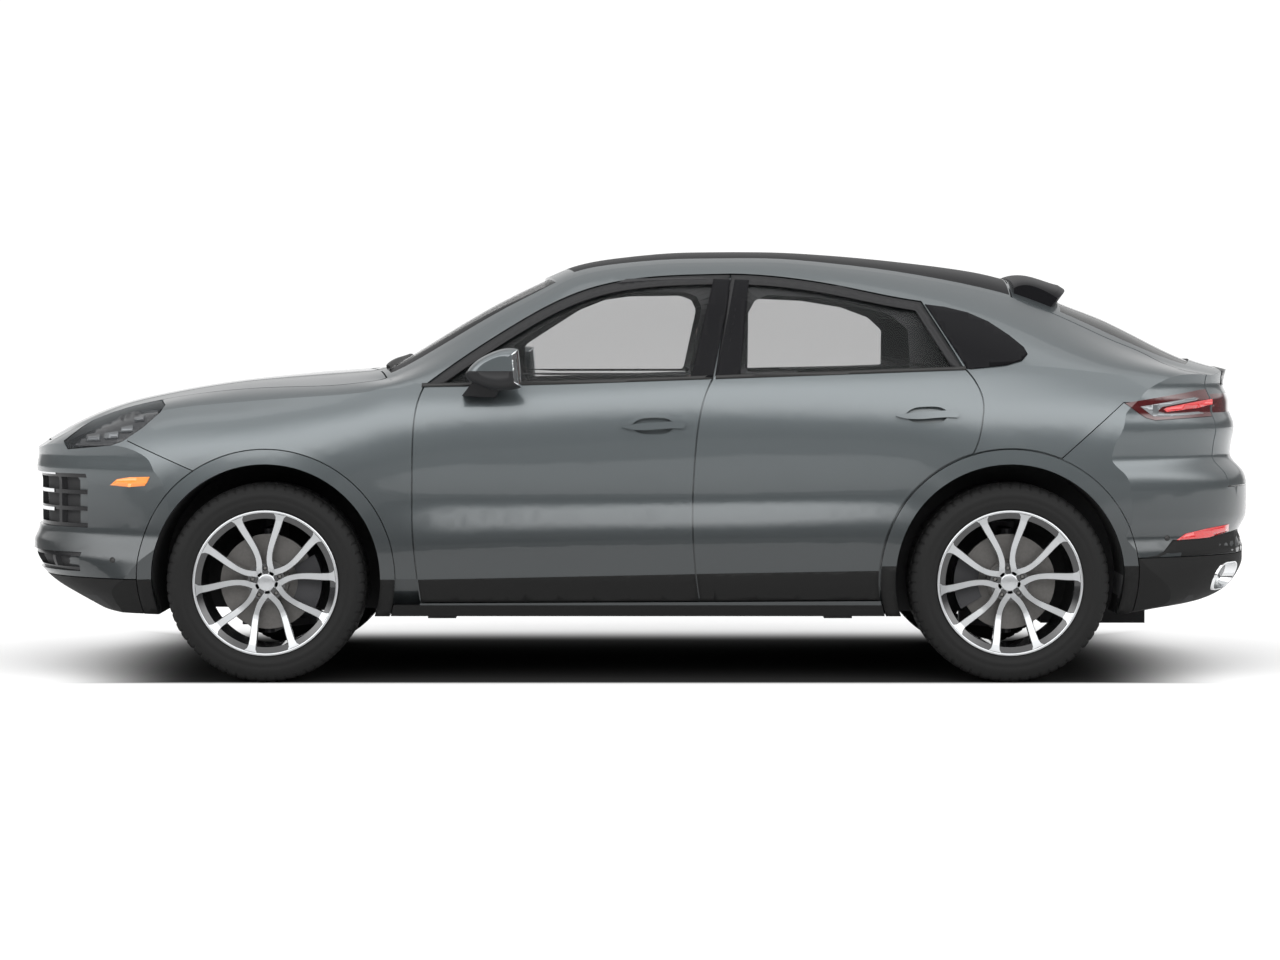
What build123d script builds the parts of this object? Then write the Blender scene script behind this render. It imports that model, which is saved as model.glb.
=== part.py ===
from build123d import *
from math import acos, asin, cos, degrees, hypot, pi, radians, sin
import os

import numpy as np

# Coupe sport utility vehicle, millimetres. +X points to the nose, +Y to the
# vehicle's left, +Z up. The origin is on the ground, midway along the length.

# ---- driving dimensions -----------------------------------------------------
FRONT_AXLE_X = 1456.0
REAR_AXLE_X = -1439.0
WHEEL_FACE_Y = 970.0  # outer face of every tyre
TYRE_R = 389.0
FRONT_TYRE_W = 285.0
REAR_TYRE_W = 315.0
RIM_R = 284.0  # outer radius of the rim flange
ARCH_R = 446.0  # wheel opening
ARCH_LIFT = 17.0  # the opening's centre above the hub
TRIM_W = 56.0  # width of the trim band round the opening
PANEL_T = 38.0  # skin panels
LINING_T = 60.0  # skin and lining together, roof and pillars
PANEL_GAP = 4.0  # shut lines between fixed panels
MOVE_GAP = 6.0  # shut lines round doors and lids
DOOR_LIP_T = 16.0  # outer flange of a door
DOOR_LIP_W = 26.0  # how far that flange reaches past the door's box
DOOR_INNER_Y = 835.0  # cabin side of the doors
FLOOR_Z = 330.0  # cabin floor
DASH_X = 1010.0  # front wall of the cabin
TAIL_INNER_X = -2250.0
GLASS_T = 6.0
GLASS_INSET = 9.0
FRAME_W = 36.0  # window frames
HOOD_T = 38.0
HUB_Z = TYRE_R
SEAT_GAP = 0.3  # between pieces that bear on each other

# ---- feature lines of the body, as (position, value) knots ------------------
# Height of the centre line along X.
TOP = [
    (2600, 770), (2512, 851), (2462, 897), (2396, 943), (2238, 1030), (2114, 1075),
    (1989, 1104), (1741, 1150), (1492, 1183), (1243, 1208), (1130, 1214), (1050, 1218),
    (995, 1238), (870, 1311), (622, 1457), (373, 1581), (249, 1626), (124, 1651),
    (0, 1668), (-200, 1682), (-373, 1684), (-622, 1680), (-870, 1666), (-1119, 1643),
    (-1368, 1610), (-1520, 1572), (-1699, 1500), (-1865, 1438), (-2114, 1318),
    (-2238, 1256), (-2300, 1232), (-2400, 1205), (-2600, 1180),
]
# Side edge of bonnet, windscreen, roof and rear glass: x, half width, height.
RAIL = [
    (2600, 430, 780), (2396, 460, 915), (2238, 505, 1000), (1989, 560, 1085),
    (1456, 625, 1165), (1250, 665, 1172), (1100, 705, 1180), (1000, 728, 1184),
    (950, 733, 1200), (870, 726, 1240), (622, 680, 1385), (373, 628, 1525),
    (273, 612, 1576), (167, 602, 1605), (22, 592, 1626), (-171, 586, 1639),
    (-477, 582, 1642), (-772, 576, 1622), (-983, 572, 1597), (-1249, 566, 1552),
    (-1464, 562, 1502), (-1623, 560, 1448), (-1794, 560, 1375), (-1941, 564, 1309),
    (-2037, 572, 1268), (-2160, 590, 1225), (-2300, 600, 1196), (-2600, 600, 1150),
]
# Body side at each station: (half width, height) from the belt to the sill.
SIDE = {
    2600: [(600, 740), (660, 700), (720, 650), (765, 600), (790, 550), (800, 500),
           (800, 430), (790, 360), (720, 300)],
    2300: [(690, 915), (755, 860), (805, 800), (840, 730), (860, 650), (868, 570),
           (868, 470), (850, 380), (780, 285)],
    2050: [(790, 1005), (850, 945), (895, 875), (920, 790), (932, 700), (935, 610),
           (932, 510), (922, 400), (850, 268)],
    1870: [(815, 1058), (875, 1005), (925, 925), (950, 840), (962, 740), (966, 650),
           (964, 530), (954, 400), (885, 262)],
    1456: [(850, 1100), (905, 1050), (950, 980), (975, 895), (985, 800), (987, 700),
           (984, 570), (972, 420), (905, 258)],
    1100: [(880, 1126), (918, 1075), (948, 1000), (963, 910), (968, 810), (967, 700),
           (968, 590), (964, 420), (905, 256)],
    960: [(893, 1145), (924, 1090), (949, 1010), (960, 915), (961, 805), (958, 695),
          (965, 597), (962, 415), (905, 256)],
    700: [(903, 1152), (931, 1095), (951, 1010), (957, 915), (953, 800), (949, 695),
          (965, 603), (960, 410), (905, 256)],
    -280: [(918, 1181), (942, 1115), (957, 1025), (960, 920), (953, 800), (949, 700),
           (966, 627), (960, 415), (905, 256)],
    -950: [(912, 1205), (940, 1130), (960, 1035), (966, 930), (960, 810), (957, 710),
           (969, 640), (963, 420), (905, 256)],
    -1439: [(895, 1236), (935, 1150), (968, 1050), (984, 940), (989, 820), (989, 710),
            (987, 590), (976, 420), (908, 256)],
    -1900: [(855, 1195), (903, 1130), (942, 1045), (962, 940), (967, 830), (968, 740),
            (964, 600), (950, 430), (885, 265)],
    -2250: [(800, 1160), (845, 1105), (878, 1035), (893, 940), (898, 850), (900, 770),
            (898, 620), (880, 460), (800, 300)],
    -2600: [(700, 1120), (745, 1070), (780, 1005), (800, 930), (810, 850), (815, 770),
            (812, 620), (795, 470), (720, 340)],
}
# Slopes of the cross-section, in degrees below level, going outwards.
RAIL_SLOPE = [
    (2600, -10), (1456, -9), (1100, -12), (960, -22), (600, -32), (0, -24),
    (-900, -24), (-1500, -28), (-1900, -28), (-2200, -16), (-2600, -12),
]
BELT_SLOPE_ABOVE = [
    (2600, -38), (2050, -36), (1456, -34), (1200, -34), (1100, -37), (1000, -46),
    (900, -60), (700, -69), (-950, -70), (-1350, -62), (-1600, -50), (-1900, -46),
    (-2600, -44),
]
BELT_SLOPE_BELOW = [
    (2600, -42), (1456, -42), (1100, -50), (960, -56), (700, -62), (-950, -62),
    (-1439, -58), (-1900, -52), (-2600, -48),
]
STATIONS = [
    2600, 2500, 2400, 2300, 2190, 2080, 1960, 1830, 1690, 1550, 1410, 1280, 1180, 1110,
    1060, 1015, 975, 945, 930, 915, 860, 760, 640, 500, 373, 250, 110, -40, -171, -265,
    -290, -315, -430, -580, -740, -900, -1050, -1200, -1330, -1360, -1390, -1480, -1590,
    -1700, -1820, -1940, -2060, -2180, -2300, -2420, -2510, -2600,
]
JOINTS = [2600, 930, -290, -1360, -2600]  # where one length of the skin ends
# Nose and tail on the centre line: height, x. Then how far each falls back at the
# side of the body, where the fall goes with the fourth power of the half width.
NOSE = [
    (150, 1900), (219, 2060), (268, 2170), (316, 2270), (365, 2360), (413, 2420),
    (450, 2450), (482, 2464), (534, 2462), (560, 2452), (582, 2442), (776, 2442),
    (800, 2450), (845, 2450), (873, 2444), (950, 2450), (1800, 2560),
]
NOSE_FALL = [(150, 100), (219, 150), (316, 300), (482, 520), (560, 565), (1800, 565)]
TAIL = [
    (150, -1900), (256, -2050), (305, -2300), (345, -2380), (400, -2425), (450, -2446),
    (509, -2447), (561, -2432), (590, -2440), (609, -2455), (640, -2463), (690, -2465),
    (754, -2465), (802, -2452), (826, -2432), (850, -2410), (874, -2398), (923, -2402),
    (979, -2412), (1007, -2410), (1030, -2398), (1043, -2392), (1083, -2390),
    (1116, -2382), (1150, -2366), (1180, -2366), (1208, -2376), (1240, -2380),
]
TAIL_FALL = [(150, 200), (256, 250), (345, 420), (509, 500), (640, 520), (1200, 520)]
FALL_Y = 950.0
PLAN_Y = 1080.0
PLAN_BOTTOM, PLAN_STEP, PLAN_LEVELS, PLAN_TOP = 150.0, 30.0, 38, 600.0


def smooth(at, knots):
    """Value at a place on a monotone cubic through (place, value) knots."""
    knots = sorted(knots)
    place = np.array([k[0] for k in knots], float)
    value = np.array([k[1] for k in knots], float)
    if at <= place[0]:
        return float(value[0])
    if at >= place[-1]:
        return float(value[-1])
    step = np.diff(place)
    rise = np.diff(value) / step
    slope = np.zeros(len(place))
    slope[0], slope[-1] = rise[0], rise[-1]
    for i in range(1, len(place) - 1):
        if rise[i - 1] * rise[i] > 0:
            a = 2 * step[i] + step[i - 1]
            b = step[i] + 2 * step[i - 1]
            slope[i] = (a + b) / (a / rise[i - 1] + b / rise[i])
    i = int(np.searchsorted(place, at)) - 1
    t = (at - place[i]) / step[i]
    return float(
        (2 * t**3 - 3 * t**2 + 1) * value[i]
        + (t**3 - 2 * t**2 + t) * step[i] * slope[i]
        + (3 * t**2 - 2 * t**3) * value[i + 1]
        + (t**3 - t**2) * step[i] * slope[i + 1]
    )


# ---- body surfaces ----------------------------------------------------------
def inward(point, direction, depth):
    """The point moved by depth to the inner side of a (y, z) direction."""
    size = hypot(*direction)
    y, z = point
    return (y + depth * direction[1] / size, z - depth * direction[0] / size)


def shares(points):
    """Share of the way along a chain of points at which each of them lies."""
    steps = [hypot(b[0] - a[0], b[1] - a[1]) for a, b in zip(points, points[1:])]
    return [sum(steps[:i]) / sum(steps) for i in range(len(points))]


# Every section's spline runs past its points at the same shares of its length.
SIDE_SHARES = shares(SIDE[-280])
CROWN_SHARES = [0.0, 0.5, 1.0]
FACE_SPREAD = [PLAN_Y * sin(pi / 2 * k / 5) for k in range(-5, 6)]
FACE_SHARES = shares([(0.2 * y * (abs(y) / FALL_Y) ** 3, y) for y in FACE_SPREAD])


def slope_at(x, knots):
    angle = radians(smooth(x, knots))
    return (cos(angle), sin(angle))


def section(x, depth):
    """Closed cross-section at x, lying depth inside the outer skin."""
    rail_dir = slope_at(x, RAIL_SLOPE)
    above = slope_at(x, BELT_SLOPE_ABOVE)
    below = slope_at(x, BELT_SLOPE_BELOW)
    top_z = smooth(x, TOP) - depth
    rail = (smooth(x, [k[:2] for k in RAIL]), smooth(x, [k[::2] for k in RAIL]))
    rail = inward(rail, rail_dir, depth)
    raw = []
    for k in range(len(SIDE[960])):
        y = smooth(x, [(s, line[k][0]) for s, line in SIDE.items()])
        z = smooth(x, [(s, line[k][1]) for s, line in SIDE.items()])
        raw.append((y, z))
    line = [inward(raw[0], (above[0] + below[0], above[1] + below[1]), depth)]
    for before, here, after in zip(raw, raw[1:], raw[2:]):
        run = (after[0] - before[0], after[1] - before[1])
        line.append(inward(here, run, depth))
    line.append((raw[-1][0] - 1.2 * depth, raw[-1][1] + depth))
    belt, foot = line[0], line[-1]
    end = (foot[0] - line[-2][0], foot[1] - line[-2][1])

    def half(s):
        side = Edge.make_spline(
            [Vector(x, s * y, z) for y, z in line],
            tangents=[Vector(0, s * below[0], below[1]), Vector(0, s * end[0], end[1])],
            parameters=SIDE_SHARES,
        )
        glass = Edge.make_spline(
            [Vector(x, s * rail[0], rail[1]), Vector(x, s * belt[0], belt[1])],
            tangents=[
                Vector(0, s * rail_dir[0], rail_dir[1]),
                Vector(0, s * above[0], above[1]),
            ],
        )
        return glass, side

    glass_l, side_l = half(1)
    glass_r, side_r = half(-1)
    crown = Edge.make_spline(
        [Vector(x, -rail[0], rail[1]), Vector(x, 0, top_z), Vector(x, rail[0], rail[1])],
        tangents=[
            Vector(0, rail_dir[0], -rail_dir[1]),
            Vector(0, rail_dir[0], rail_dir[1]),
        ],
        parameters=CROWN_SHARES,
    )
    bottom = Edge.make_line(Vector(x, foot[0], foot[1]), Vector(x, -foot[0], foot[1]))
    return Wire([crown, glass_l, side_l, bottom, side_r, glass_r])


def plan_outline(z, depth):
    """Outline at height z that bounds the nose and the tail."""

    def face_line(s, x0, fall):
        return [Vector(x0 - s * fall * (abs(y) / FALL_Y) ** 4, y, z) for y in FACE_SPREAD]

    front = face_line(1, smooth(z, NOSE) - depth, smooth(z, NOSE_FALL))
    rear = face_line(-1, smooth(z, TAIL) + depth, smooth(z, TAIL_FALL))
    nose = Edge.make_spline(front, parameters=FACE_SHARES)
    tail = Edge.make_spline(rear[::-1], parameters=FACE_SHARES)
    left = Edge.make_line(front[-1], rear[-1])
    right = Edge.make_line(rear[0], front[0])
    return Wire([nose, left, tail, right])


def body_solid(depth):
    """The closed body, depth inside its outer skin, lofted in four lengths."""
    lengths = []
    for front, rear in zip(JOINTS, JOINTS[1:]):
        stations = [x for x in STATIONS if rear <= x <= front]
        lengths.append(Solid.make_loft([section(x, depth) for x in stations]))
    levels = [PLAN_BOTTOM + PLAN_STEP * i for i in range(PLAN_LEVELS)]
    low = Solid.make_loft([plan_outline(z, depth) for z in levels])
    high = extrude(Face(plan_outline(levels[-1], depth)), PLAN_TOP, dir=(0, 0, 1))
    plan = low + high
    nose = (lengths[0] & plan).solids()[0]
    tail = (lengths[-1] & plan).solids()[0]
    return nose.fuse(*lengths[1:-1], tail)


# ---- outlines and prisms ----------------------------------------------------
def outline(*runs):
    """Face in the XZ plane; a run of two points is straight, a longer one curved."""
    edges = []
    for run in runs:
        points = [Vector(x, 0, z) for x, z in run]
        if len(points) == 2:
            edges.append(Edge.make_line(*points))
        else:
            edges.append(Edge.make_spline(points))
    return Face(Wire(edges))


def chain(*points):
    """Runs of a closed polygon."""
    return [list(pair) for pair in zip(points, points[1:] + points[:1])]


def heading(a, b):
    size = hypot(b[0] - a[0], b[1] - a[1])
    return ((b[0] - a[0]) / size, (b[1] - a[1]) / size)


def crossing(p, u, q, v):
    """Where the line through p along u meets the line through q along v."""
    turn = u[0] * v[1] - u[1] * v[0]
    if abs(turn) < 0.05:
        return ((p[0] + q[0]) / 2, (p[1] + q[1]) / 2)
    t = ((q[0] - p[0]) * v[1] - (q[1] - p[1]) * v[0]) / turn
    return (p[0] + t * u[0], p[1] + t * u[1])


def grown(runs, amount):
    """Runs moved outwards by amount (inwards if negative), corners kept sharp."""
    corners = [point for run in runs for point in run[:-1]]
    area = sum(
        a[0] * b[1] - b[0] * a[1] for a, b in zip(corners, corners[1:] + corners[:1])
    )
    side = amount if area > 0 else -amount
    moved = []
    for run in runs:
        last = len(run) - 1
        out = []
        for i, (x, z) in enumerate(run):
            u = heading(run[max(i - 1, 0)], run[min(i + 1, last)])
            out.append((x + side * u[1], z - side * u[0]))
        moved.append(out)
    for i, run in enumerate(moved):
        after = moved[(i + 1) % len(moved)]
        u, v = heading(run[-2], run[-1]), heading(after[0], after[1])
        run[-1] = after[0] = crossing(run[-1], u, after[0], v)
    return moved


def arc_run(centre, radius, start, end, count=7):
    """Points of a round stretch between two angles in degrees."""
    turns = [radians(start + (end - start) * i / (count - 1)) for i in range(count)]
    return [(centre[0] + radius * cos(a), centre[1] + radius * sin(a)) for a in turns]


def along_y(shape, y0, y1):
    """Prism of an XZ face, or of an outline's runs, between two values of y."""
    face = shape if isinstance(shape, Face) else outline(*shape)
    return extrude(Pos(0, y0, 0) * face, y1 - y0, dir=(0, 1, 0))


def block(x0, x1, y0, y1, z0, z1):
    """Box between two corners."""
    size = (x1 - x0, y1 - y0, z1 - z0)
    return Pos((x0 + x1) / 2, (y0 + y1) / 2, (z0 + z1) / 2) * Box(*size)


def rod_y(x, z, radius, y0, y1):
    """Cylinder along Y."""
    return Pos(x, (y0 + y1) / 2, z) * Rot(90, 0, 0) * Cylinder(radius, y1 - y0)


def solids_of(*shapes):
    """Every solid in the shapes, as a flat list."""
    out = []
    for shape in shapes:
        if isinstance(shape, (list, tuple)):
            out.extend(solids_of(*shape))
        else:
            out.extend(shape.solids())
    return out


def one(solids):
    return solids[0] if len(solids) == 1 else Compound(solids)


def cut(shape, *tools):
    """What is left of a shape outside all the tools."""
    left = solids_of(shape)
    for tool in solids_of(*tools):
        left = solids_of(*[solid.cut(tool) for solid in left])
    return one(left)


def largest(shape):
    return max(solids_of(shape), key=lambda s: s.volume)


def meet(shape, tool):
    """What a shape and a tool have in common."""
    common = [a.intersect(b) for a in solids_of(shape) for b in solids_of(tool)]
    return one(solids_of(*[c for c in common if c]))


def both(shape):
    """The shape and its mirror image on the other side."""
    return [shape, one([mirror(s, about=Plane.XZ) for s in solids_of(shape)])]


NODES = {}


def keep(name, *shapes, least=2000.0):
    """Store a node as one solid or as a compound of solids that don't touch."""
    NODES[name] = one([s for s in solids_of(*shapes) if s.volume > least])


OUTER = body_solid(0)
INNER = body_solid(PANEL_T)
LINING = body_solid(LINING_T)

# ---- outlines of the doors, in side view ------------------------------------
FAR = 1150.0  # past the widest point of the body


def pillar_line(shift):
    """The shut line between the doors, from the roof to the sill."""
    top = [(-359 + shift, 1596), (-289 + shift, 1194)]
    low = [(-289, 1194), (-241, 1075), (-217, 917), (-205, 703), (-207, 544),
           (-217, 425), (-233, 312)]
    return top, [(x + shift, z) for x, z in low]


def front_door_opening():
    top, low = pillar_line(-MOVE_GAP / 2)
    roof = [(842, 1157), (689, 1269), (498, 1393), (355, 1474), (193, 1540),
            (22, 1576), (-169, 1591), top[0]]
    front = [(858, 307), (876, 465), (887, 592), (888, 822), (884, 980), (872, 1075),
             (842, 1157)]
    return [roof, top, low, [low[-1], front[0]], front]


def rear_door_opening():
    top, low = pillar_line(MOVE_GAP / 2)
    reach = ARCH_R + TRIM_W + PANEL_GAP
    centre = (REAR_AXLE_X, HUB_Z + ARCH_LIFT)
    foot_z, corner_x = 316.0, -1293.0
    start = degrees(asin((foot_z - centre[1]) / reach))
    end = degrees(acos((corner_x - centre[0]) / reach))
    arch = arc_run(centre, reach, start, end)
    roof = [(-1109, 1487), (-972, 1510), (-763, 1553), (-551, 1584), top[0]]
    rear = [arch[-1], (-1316, 945), (-1330, 1015), (-1335, 1098), (-1314, 1160),
            (-1258, 1232)]
    return [roof, top, low, [low[-1], arch[0]], arch, rear, [rear[-1], roof[0]]]


BELT = [(1000, 1160), (448, 1168), (-280, 1193), (-1266, 1228), (-1600, 1242)]


def above_belt():
    back, front = (BELT[-1][0], 1750), (BELT[0][0], 1750)
    return outline(BELT, [BELT[-1], back], [back, front], [front, BELT[0]])


def window_of(door):
    """Glass face inside a door's frame."""
    return (outline(*grown(door, -FRAME_W)) & above_belt()).faces()[0]


def pane(face):
    """Left side glass that fills an outline, a little under the skin."""
    prism = along_y(face, 500, FAR)
    outer_face = OUTER.moved(Location((0, -GLASS_INSET, -GLASS_INSET / 3)))
    inner_face = OUTER.moved(
        Location((0, -GLASS_INSET - GLASS_T, -(GLASS_INSET + GLASS_T) / 3))
    )
    return cut(meet(prism, outer_face), inner_face)


# ---- cavities ---------------------------------------------------------------
ARCH_Z = HUB_Z + ARCH_LIFT
FRONT_WELL_Y = 470.0
REAR_WELL_Y = WHEEL_FACE_Y - REAR_TYRE_W - 20
WELL_WALL = 20.0


def wheel_wells(grow=0.0):
    """The four spaces for the wheels, open outwards and downwards."""
    out = []
    for x, y in ((FRONT_AXLE_X, FRONT_WELL_Y), (REAR_AXLE_X, REAR_WELL_Y)):
        radius = ARCH_R + grow
        well = rod_y(x, ARCH_Z, radius, y - grow, FAR)
        well = well + block(x - radius, x + radius, y - grow, FAR, 0, ARCH_Z - 200)
        out += both(well)
    return out


WELLS = wheel_wells()
CABIN_BOX = block(TAIL_INNER_X, DASH_X, -DOOR_INNER_Y, DOOR_INNER_Y, FLOOR_Z, 1800)
CABIN = largest(cut(meet(LINING, CABIN_BOX), wheel_wells(WELL_WALL)))

# ---- doors ------------------------------------------------------------------
LEFT_SHIFTED = OUTER.moved(Location((0, -DOOR_LIP_T, 0)))
LEFT_DEEPER = OUTER.moved(Location((0, -DOOR_LIP_T - MOVE_GAP, 0)))
SHELF_IN = 6.0  # the opening in the body, inside the door's outline
HINGE_LOW, HINGE_HIGH, HINGE_TALL = 500.0, 920.0, 70.0  # hinge blocks of a door
HANDLE_RECESS, HANDLE_PROUD, HANDLE_T = 28.0, 14.0, 20.0


def shifted(dx, dy, dz):
    return OUTER.moved(Location((dx, dy, dz)))



def make_handle(tip_x, tip_z):
    """Recess and pull bar of a door handle, from the place of its front tip."""
    def at(*points):
        return [(tip_x - back, tip_z + up) for back, up in points]

    recess = outline(at((35, 4), (70, 30), (120, 36), (175, 32), (205, 12)),
                     at((205, 12), (190, -14), (120, -29), (60, -20), (35, 4)))
    recess = cut(along_y(recess, 700, FAR), shifted(0, -HANDLE_RECESS, 0))
    bar = outline(at((0, 0), (30, 8), (130, 18), (236, 28)),
                  at((236, 28), (246, 14), (238, -6)),
                  at((238, -6), (120, -10), (30, -8), (0, 0)))
    bar = cut(meet(along_y(bar, 700, FAR), shifted(0, HANDLE_PROUD, 0)),
              shifted(0, HANDLE_PROUD - HANDLE_T, 0))
    return recess, bar


def make_door(opening, name, handle_tip):
    """Door and glass on both sides; returns what is cut from the body."""
    door_line = grown(opening, -MOVE_GAP)
    window = window_of(door_line)
    lip = largest(cut(meet(along_y(door_line, 500, FAR), OUTER), LEFT_SHIFTED))
    box = meet(along_y(grown(door_line, -DOOR_LIP_W), 500, FAR), LEFT_SHIFTED)
    box = largest(cut(box, CABIN))
    recess, bar = make_handle(*handle_tip)
    door = cut(lip + box, along_y(window, 400, FAR), recess)
    door = largest(largest(door).fuse(bar))
    glass = largest(pane(window))
    for side, d, g in zip(("left", "right"), both(door), both(glass)):
        keep(f"{name}_door_{side}", d)
        keep(f"{name}_door_glass_{side}", g)
    pocket = cut(along_y(opening, 500, FAR), LEFT_DEEPER)
    mouth = along_y(grown(opening, -MOVE_GAP - SHELF_IN), 500, FAR)
    # Hinge blocks stay on the body's post, against the front of the door's box.
    front_x = box.bounding_box().max.X
    seat = along_y(grown(door_line, SEAT_GAP - DOOR_LIP_W), 500, FAR)
    for low in (HINGE_LOW, HINGE_HIGH):
        post = block(front_x - 60, front_x + 60, DOOR_INNER_Y + 20, DOOR_INNER_Y + 80,
                     low, low + HINGE_TALL)
        mouth = cut(mouth, cut(post, seat))
    return both(pocket) + both(mouth)


DOOR_CUTS = make_door(front_door_opening(), "front", (70, 996))
DOOR_CUTS += make_door(rear_door_opening(), "rear", (-993, 1039))

# ---- plan view helpers ------------------------------------------------------
def plan_face(runs):
    """Face at z = 0 from runs of (x, y) points."""
    edges = []
    for run in runs:
        points = [Vector(x, y, 0) for x, y in run]
        edges.append(Edge.make_line(*points) if len(points) == 2
                     else Edge.make_spline(points))
    return Face(Wire(edges))


def along_z(runs, z0, z1):
    return extrude(Pos(0, 0, z0) * plan_face(runs), z1 - z0, dir=(0, 0, 1))


def symmetric(front, side, rear):
    """Closed plan runs from the left half's three runs, front centre to rear centre."""
    def flip(run):
        return [(x, -y) for x, y in run][::-1]

    nose = flip(front)[:-1] + front
    tail = rear + flip(rear)[1:]
    return [nose, side, tail, flip(side)]


def skin_in(tool):
    """The skin panel inside a tool."""
    return cut(meet(tool, OUTER), INNER)


# ---- hood -------------------------------------------------------------------
HOOD_HINGE_X, HOOD_HINGE_Z = 998.0, 1219.0
HOOD_LINE = symmetric(
    [(2402, 0), (2397, 220), (2374, 420), (2330, 562)],
    [(2330, 562), (2200, 585), (2000, 606), (1800, 655), (1578, 703), (1341, 748),
     (1150, 775), (1060, 765), (1002, 728)],
    [(1002, 728), (1040, 560), (1084, 330), (1112, 0)],
)
HOOD_OPENING = grown(HOOD_LINE, MOVE_GAP)
hood = cut(meet(along_z(HOOD_LINE, 700, 1400), OUTER), shifted(0, 0, -HOOD_T))
keep("hood", largest(hood))
HOOD_PADS = cut(one(both(block(960, 1080, 520, 600, 1100, 1300))),
                along_z(grown(HOOD_LINE, SEAT_GAP), 700, 1400))
HOOD_CUT = cut(along_z(HOOD_OPENING, 700, 1400), shifted(0, 0, -HOOD_T - MOVE_GAP),
               HOOD_PADS)

# ---- headlamps, bumper, fenders ---------------------------------------------
LAMP_LINE = chain((2275, 934), (2257, 906), (2068, 925), (2022, 941), (1945, 994),
                  (1882, 1053), (1870, 1078), (1890, 1092), (1963, 1092), (2061, 1070),
                  (2120, 1043), (2208, 990))
LAMP_IN_Y = 560.0
LAMP_PRISM = along_y(LAMP_LINE, LAMP_IN_Y, FAR)
LAMP_HOLE = along_y(grown(LAMP_LINE, PANEL_GAP), LAMP_IN_Y, FAR)
TRIM_OUT_R = ARCH_R + TRIM_W
lamp = largest(cut(meet(LAMP_PRISM, OUTER), LINING, HOOD_CUT))
keep("headlamps", *both(lamp))

FENDER_REAR = [(858, 307), (876, 465), (887, 592), (888, 822), (884, 980), (872, 1075),
               (842, 1157)]
COWL = block(960, 1140, -728, 728, 1000, 1300)
FRONT_ZONE = outline(FENDER_REAR, [(842, 1157), (1002, 1200)], [(1002, 1200), (1002, 1400)],
                     [(1002, 1400), (2600, 1400)], [(2600, 1400), (2600, 0)],
                     [(2600, 0), (858, 0)], [(858, 0), (858, 307)])
FRONT_ARCH = rod_y(FRONT_AXLE_X, ARCH_Z, TRIM_OUT_R + PANEL_GAP, -FAR, FAR)
REAR_ARCH = rod_y(REAR_AXLE_X, ARCH_Z, TRIM_OUT_R + PANEL_GAP, -FAR, FAR)
CLADDING_Z = 404.0
BUMPER_LINE = [(1700, 813), (2001, 942)]
fender_zone = outline(
    FENDER_REAR, [(842, 1157), (1002, 1200)], [(1002, 1200), (1002, 1400)],
    [(1002, 1400), (2001, 1400)], [(2001, 1400), BUMPER_LINE[1]], BUMPER_LINE[::-1],
    [BUMPER_LINE[0], (1700, 307)], [(1700, 307), (858, 307)],
)
fender = skin_in(along_y(fender_zone, 560, FAR))
fender = cut(fender, FRONT_ARCH, HOOD_CUT, LAMP_HOLE, COWL,
             block(800, 1200, 0, FAR, 0, CLADDING_Z))
keep("front_fenders", *both(largest(fender)))

GRILLE_LOW, GRILLE_HIGH, GRILLE_HALF = 596.0, 808.0, 790.0
INTAKE_LOW, INTAKE_HIGH, INTAKE_HALF = 425.0, 500.0, 800.0
MOUTH = block(2120, 2600, -GRILLE_HALF, GRILLE_HALF, GRILLE_LOW, GRILLE_HIGH)
INTAKE = block(2120, 2600, -INTAKE_HALF, INTAKE_HALF, INTAKE_LOW, INTAKE_HIGH)
bumper_zone = outline(
    [(1700, 813 - PANEL_GAP), (2001, 942 - PANEL_GAP)],
    [(2001, 942 - PANEL_GAP), (2010, 1300)], [(2010, 1300), (2600, 1300)],
    [(2600, 1300), (2600, CLADDING_Z)], [(2600, CLADDING_Z), (1700, CLADDING_Z)],
    [(1700, CLADDING_Z), (1700, 813 - PANEL_GAP)],
)
bumper = skin_in(along_y(bumper_zone, -FAR, FAR))
bumper = largest(cut(bumper, FRONT_ARCH, HOOD_CUT, both(LAMP_HOLE), MOUTH, INTAKE))
keep("front_bumper", bumper)

BAR_T = 16.0
BAR_BACK = 14.0


def front_plate(opening):
    """Curved plate that fills an opening, set back from the bumper's skin."""
    return cut(meet(opening, shifted(-BAR_BACK, 0, 0)), shifted(-BAR_BACK - 24, 0, 0))


def barred(opening, low, high, half, bars, posts):
    """Curved bars and posts that fill an opening in the bumper."""
    filled = front_plate(opening)
    pitch = (high - low - BAR_T) / (bars - 1)
    rows = [low + BAR_T / 2 + pitch * i for i in range(bars)]
    cols = [half * (2 * (i + 0.5) / posts - 1) for i in range(posts)]
    slots = []
    for z0, z1 in zip(rows, rows[1:]):
        edges = [-half] + cols + [half]
        for y0, y1 in zip(edges, edges[1:]):
            slots.append(block(2000, 2600, y0 + BAR_T / 2, y1 - BAR_T / 2,
                               z0 + BAR_T / 2, z1 - BAR_T / 2))
    return largest(cut(filled, slots))


grille = barred(MOUTH, GRILLE_LOW, GRILLE_HIGH, GRILLE_HALF, 4, 6)
intake = barred(INTAKE, INTAKE_LOW, INTAKE_HIGH, INTAKE_HALF, 2, 6)
keep("front_grille", grille, intake)

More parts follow.
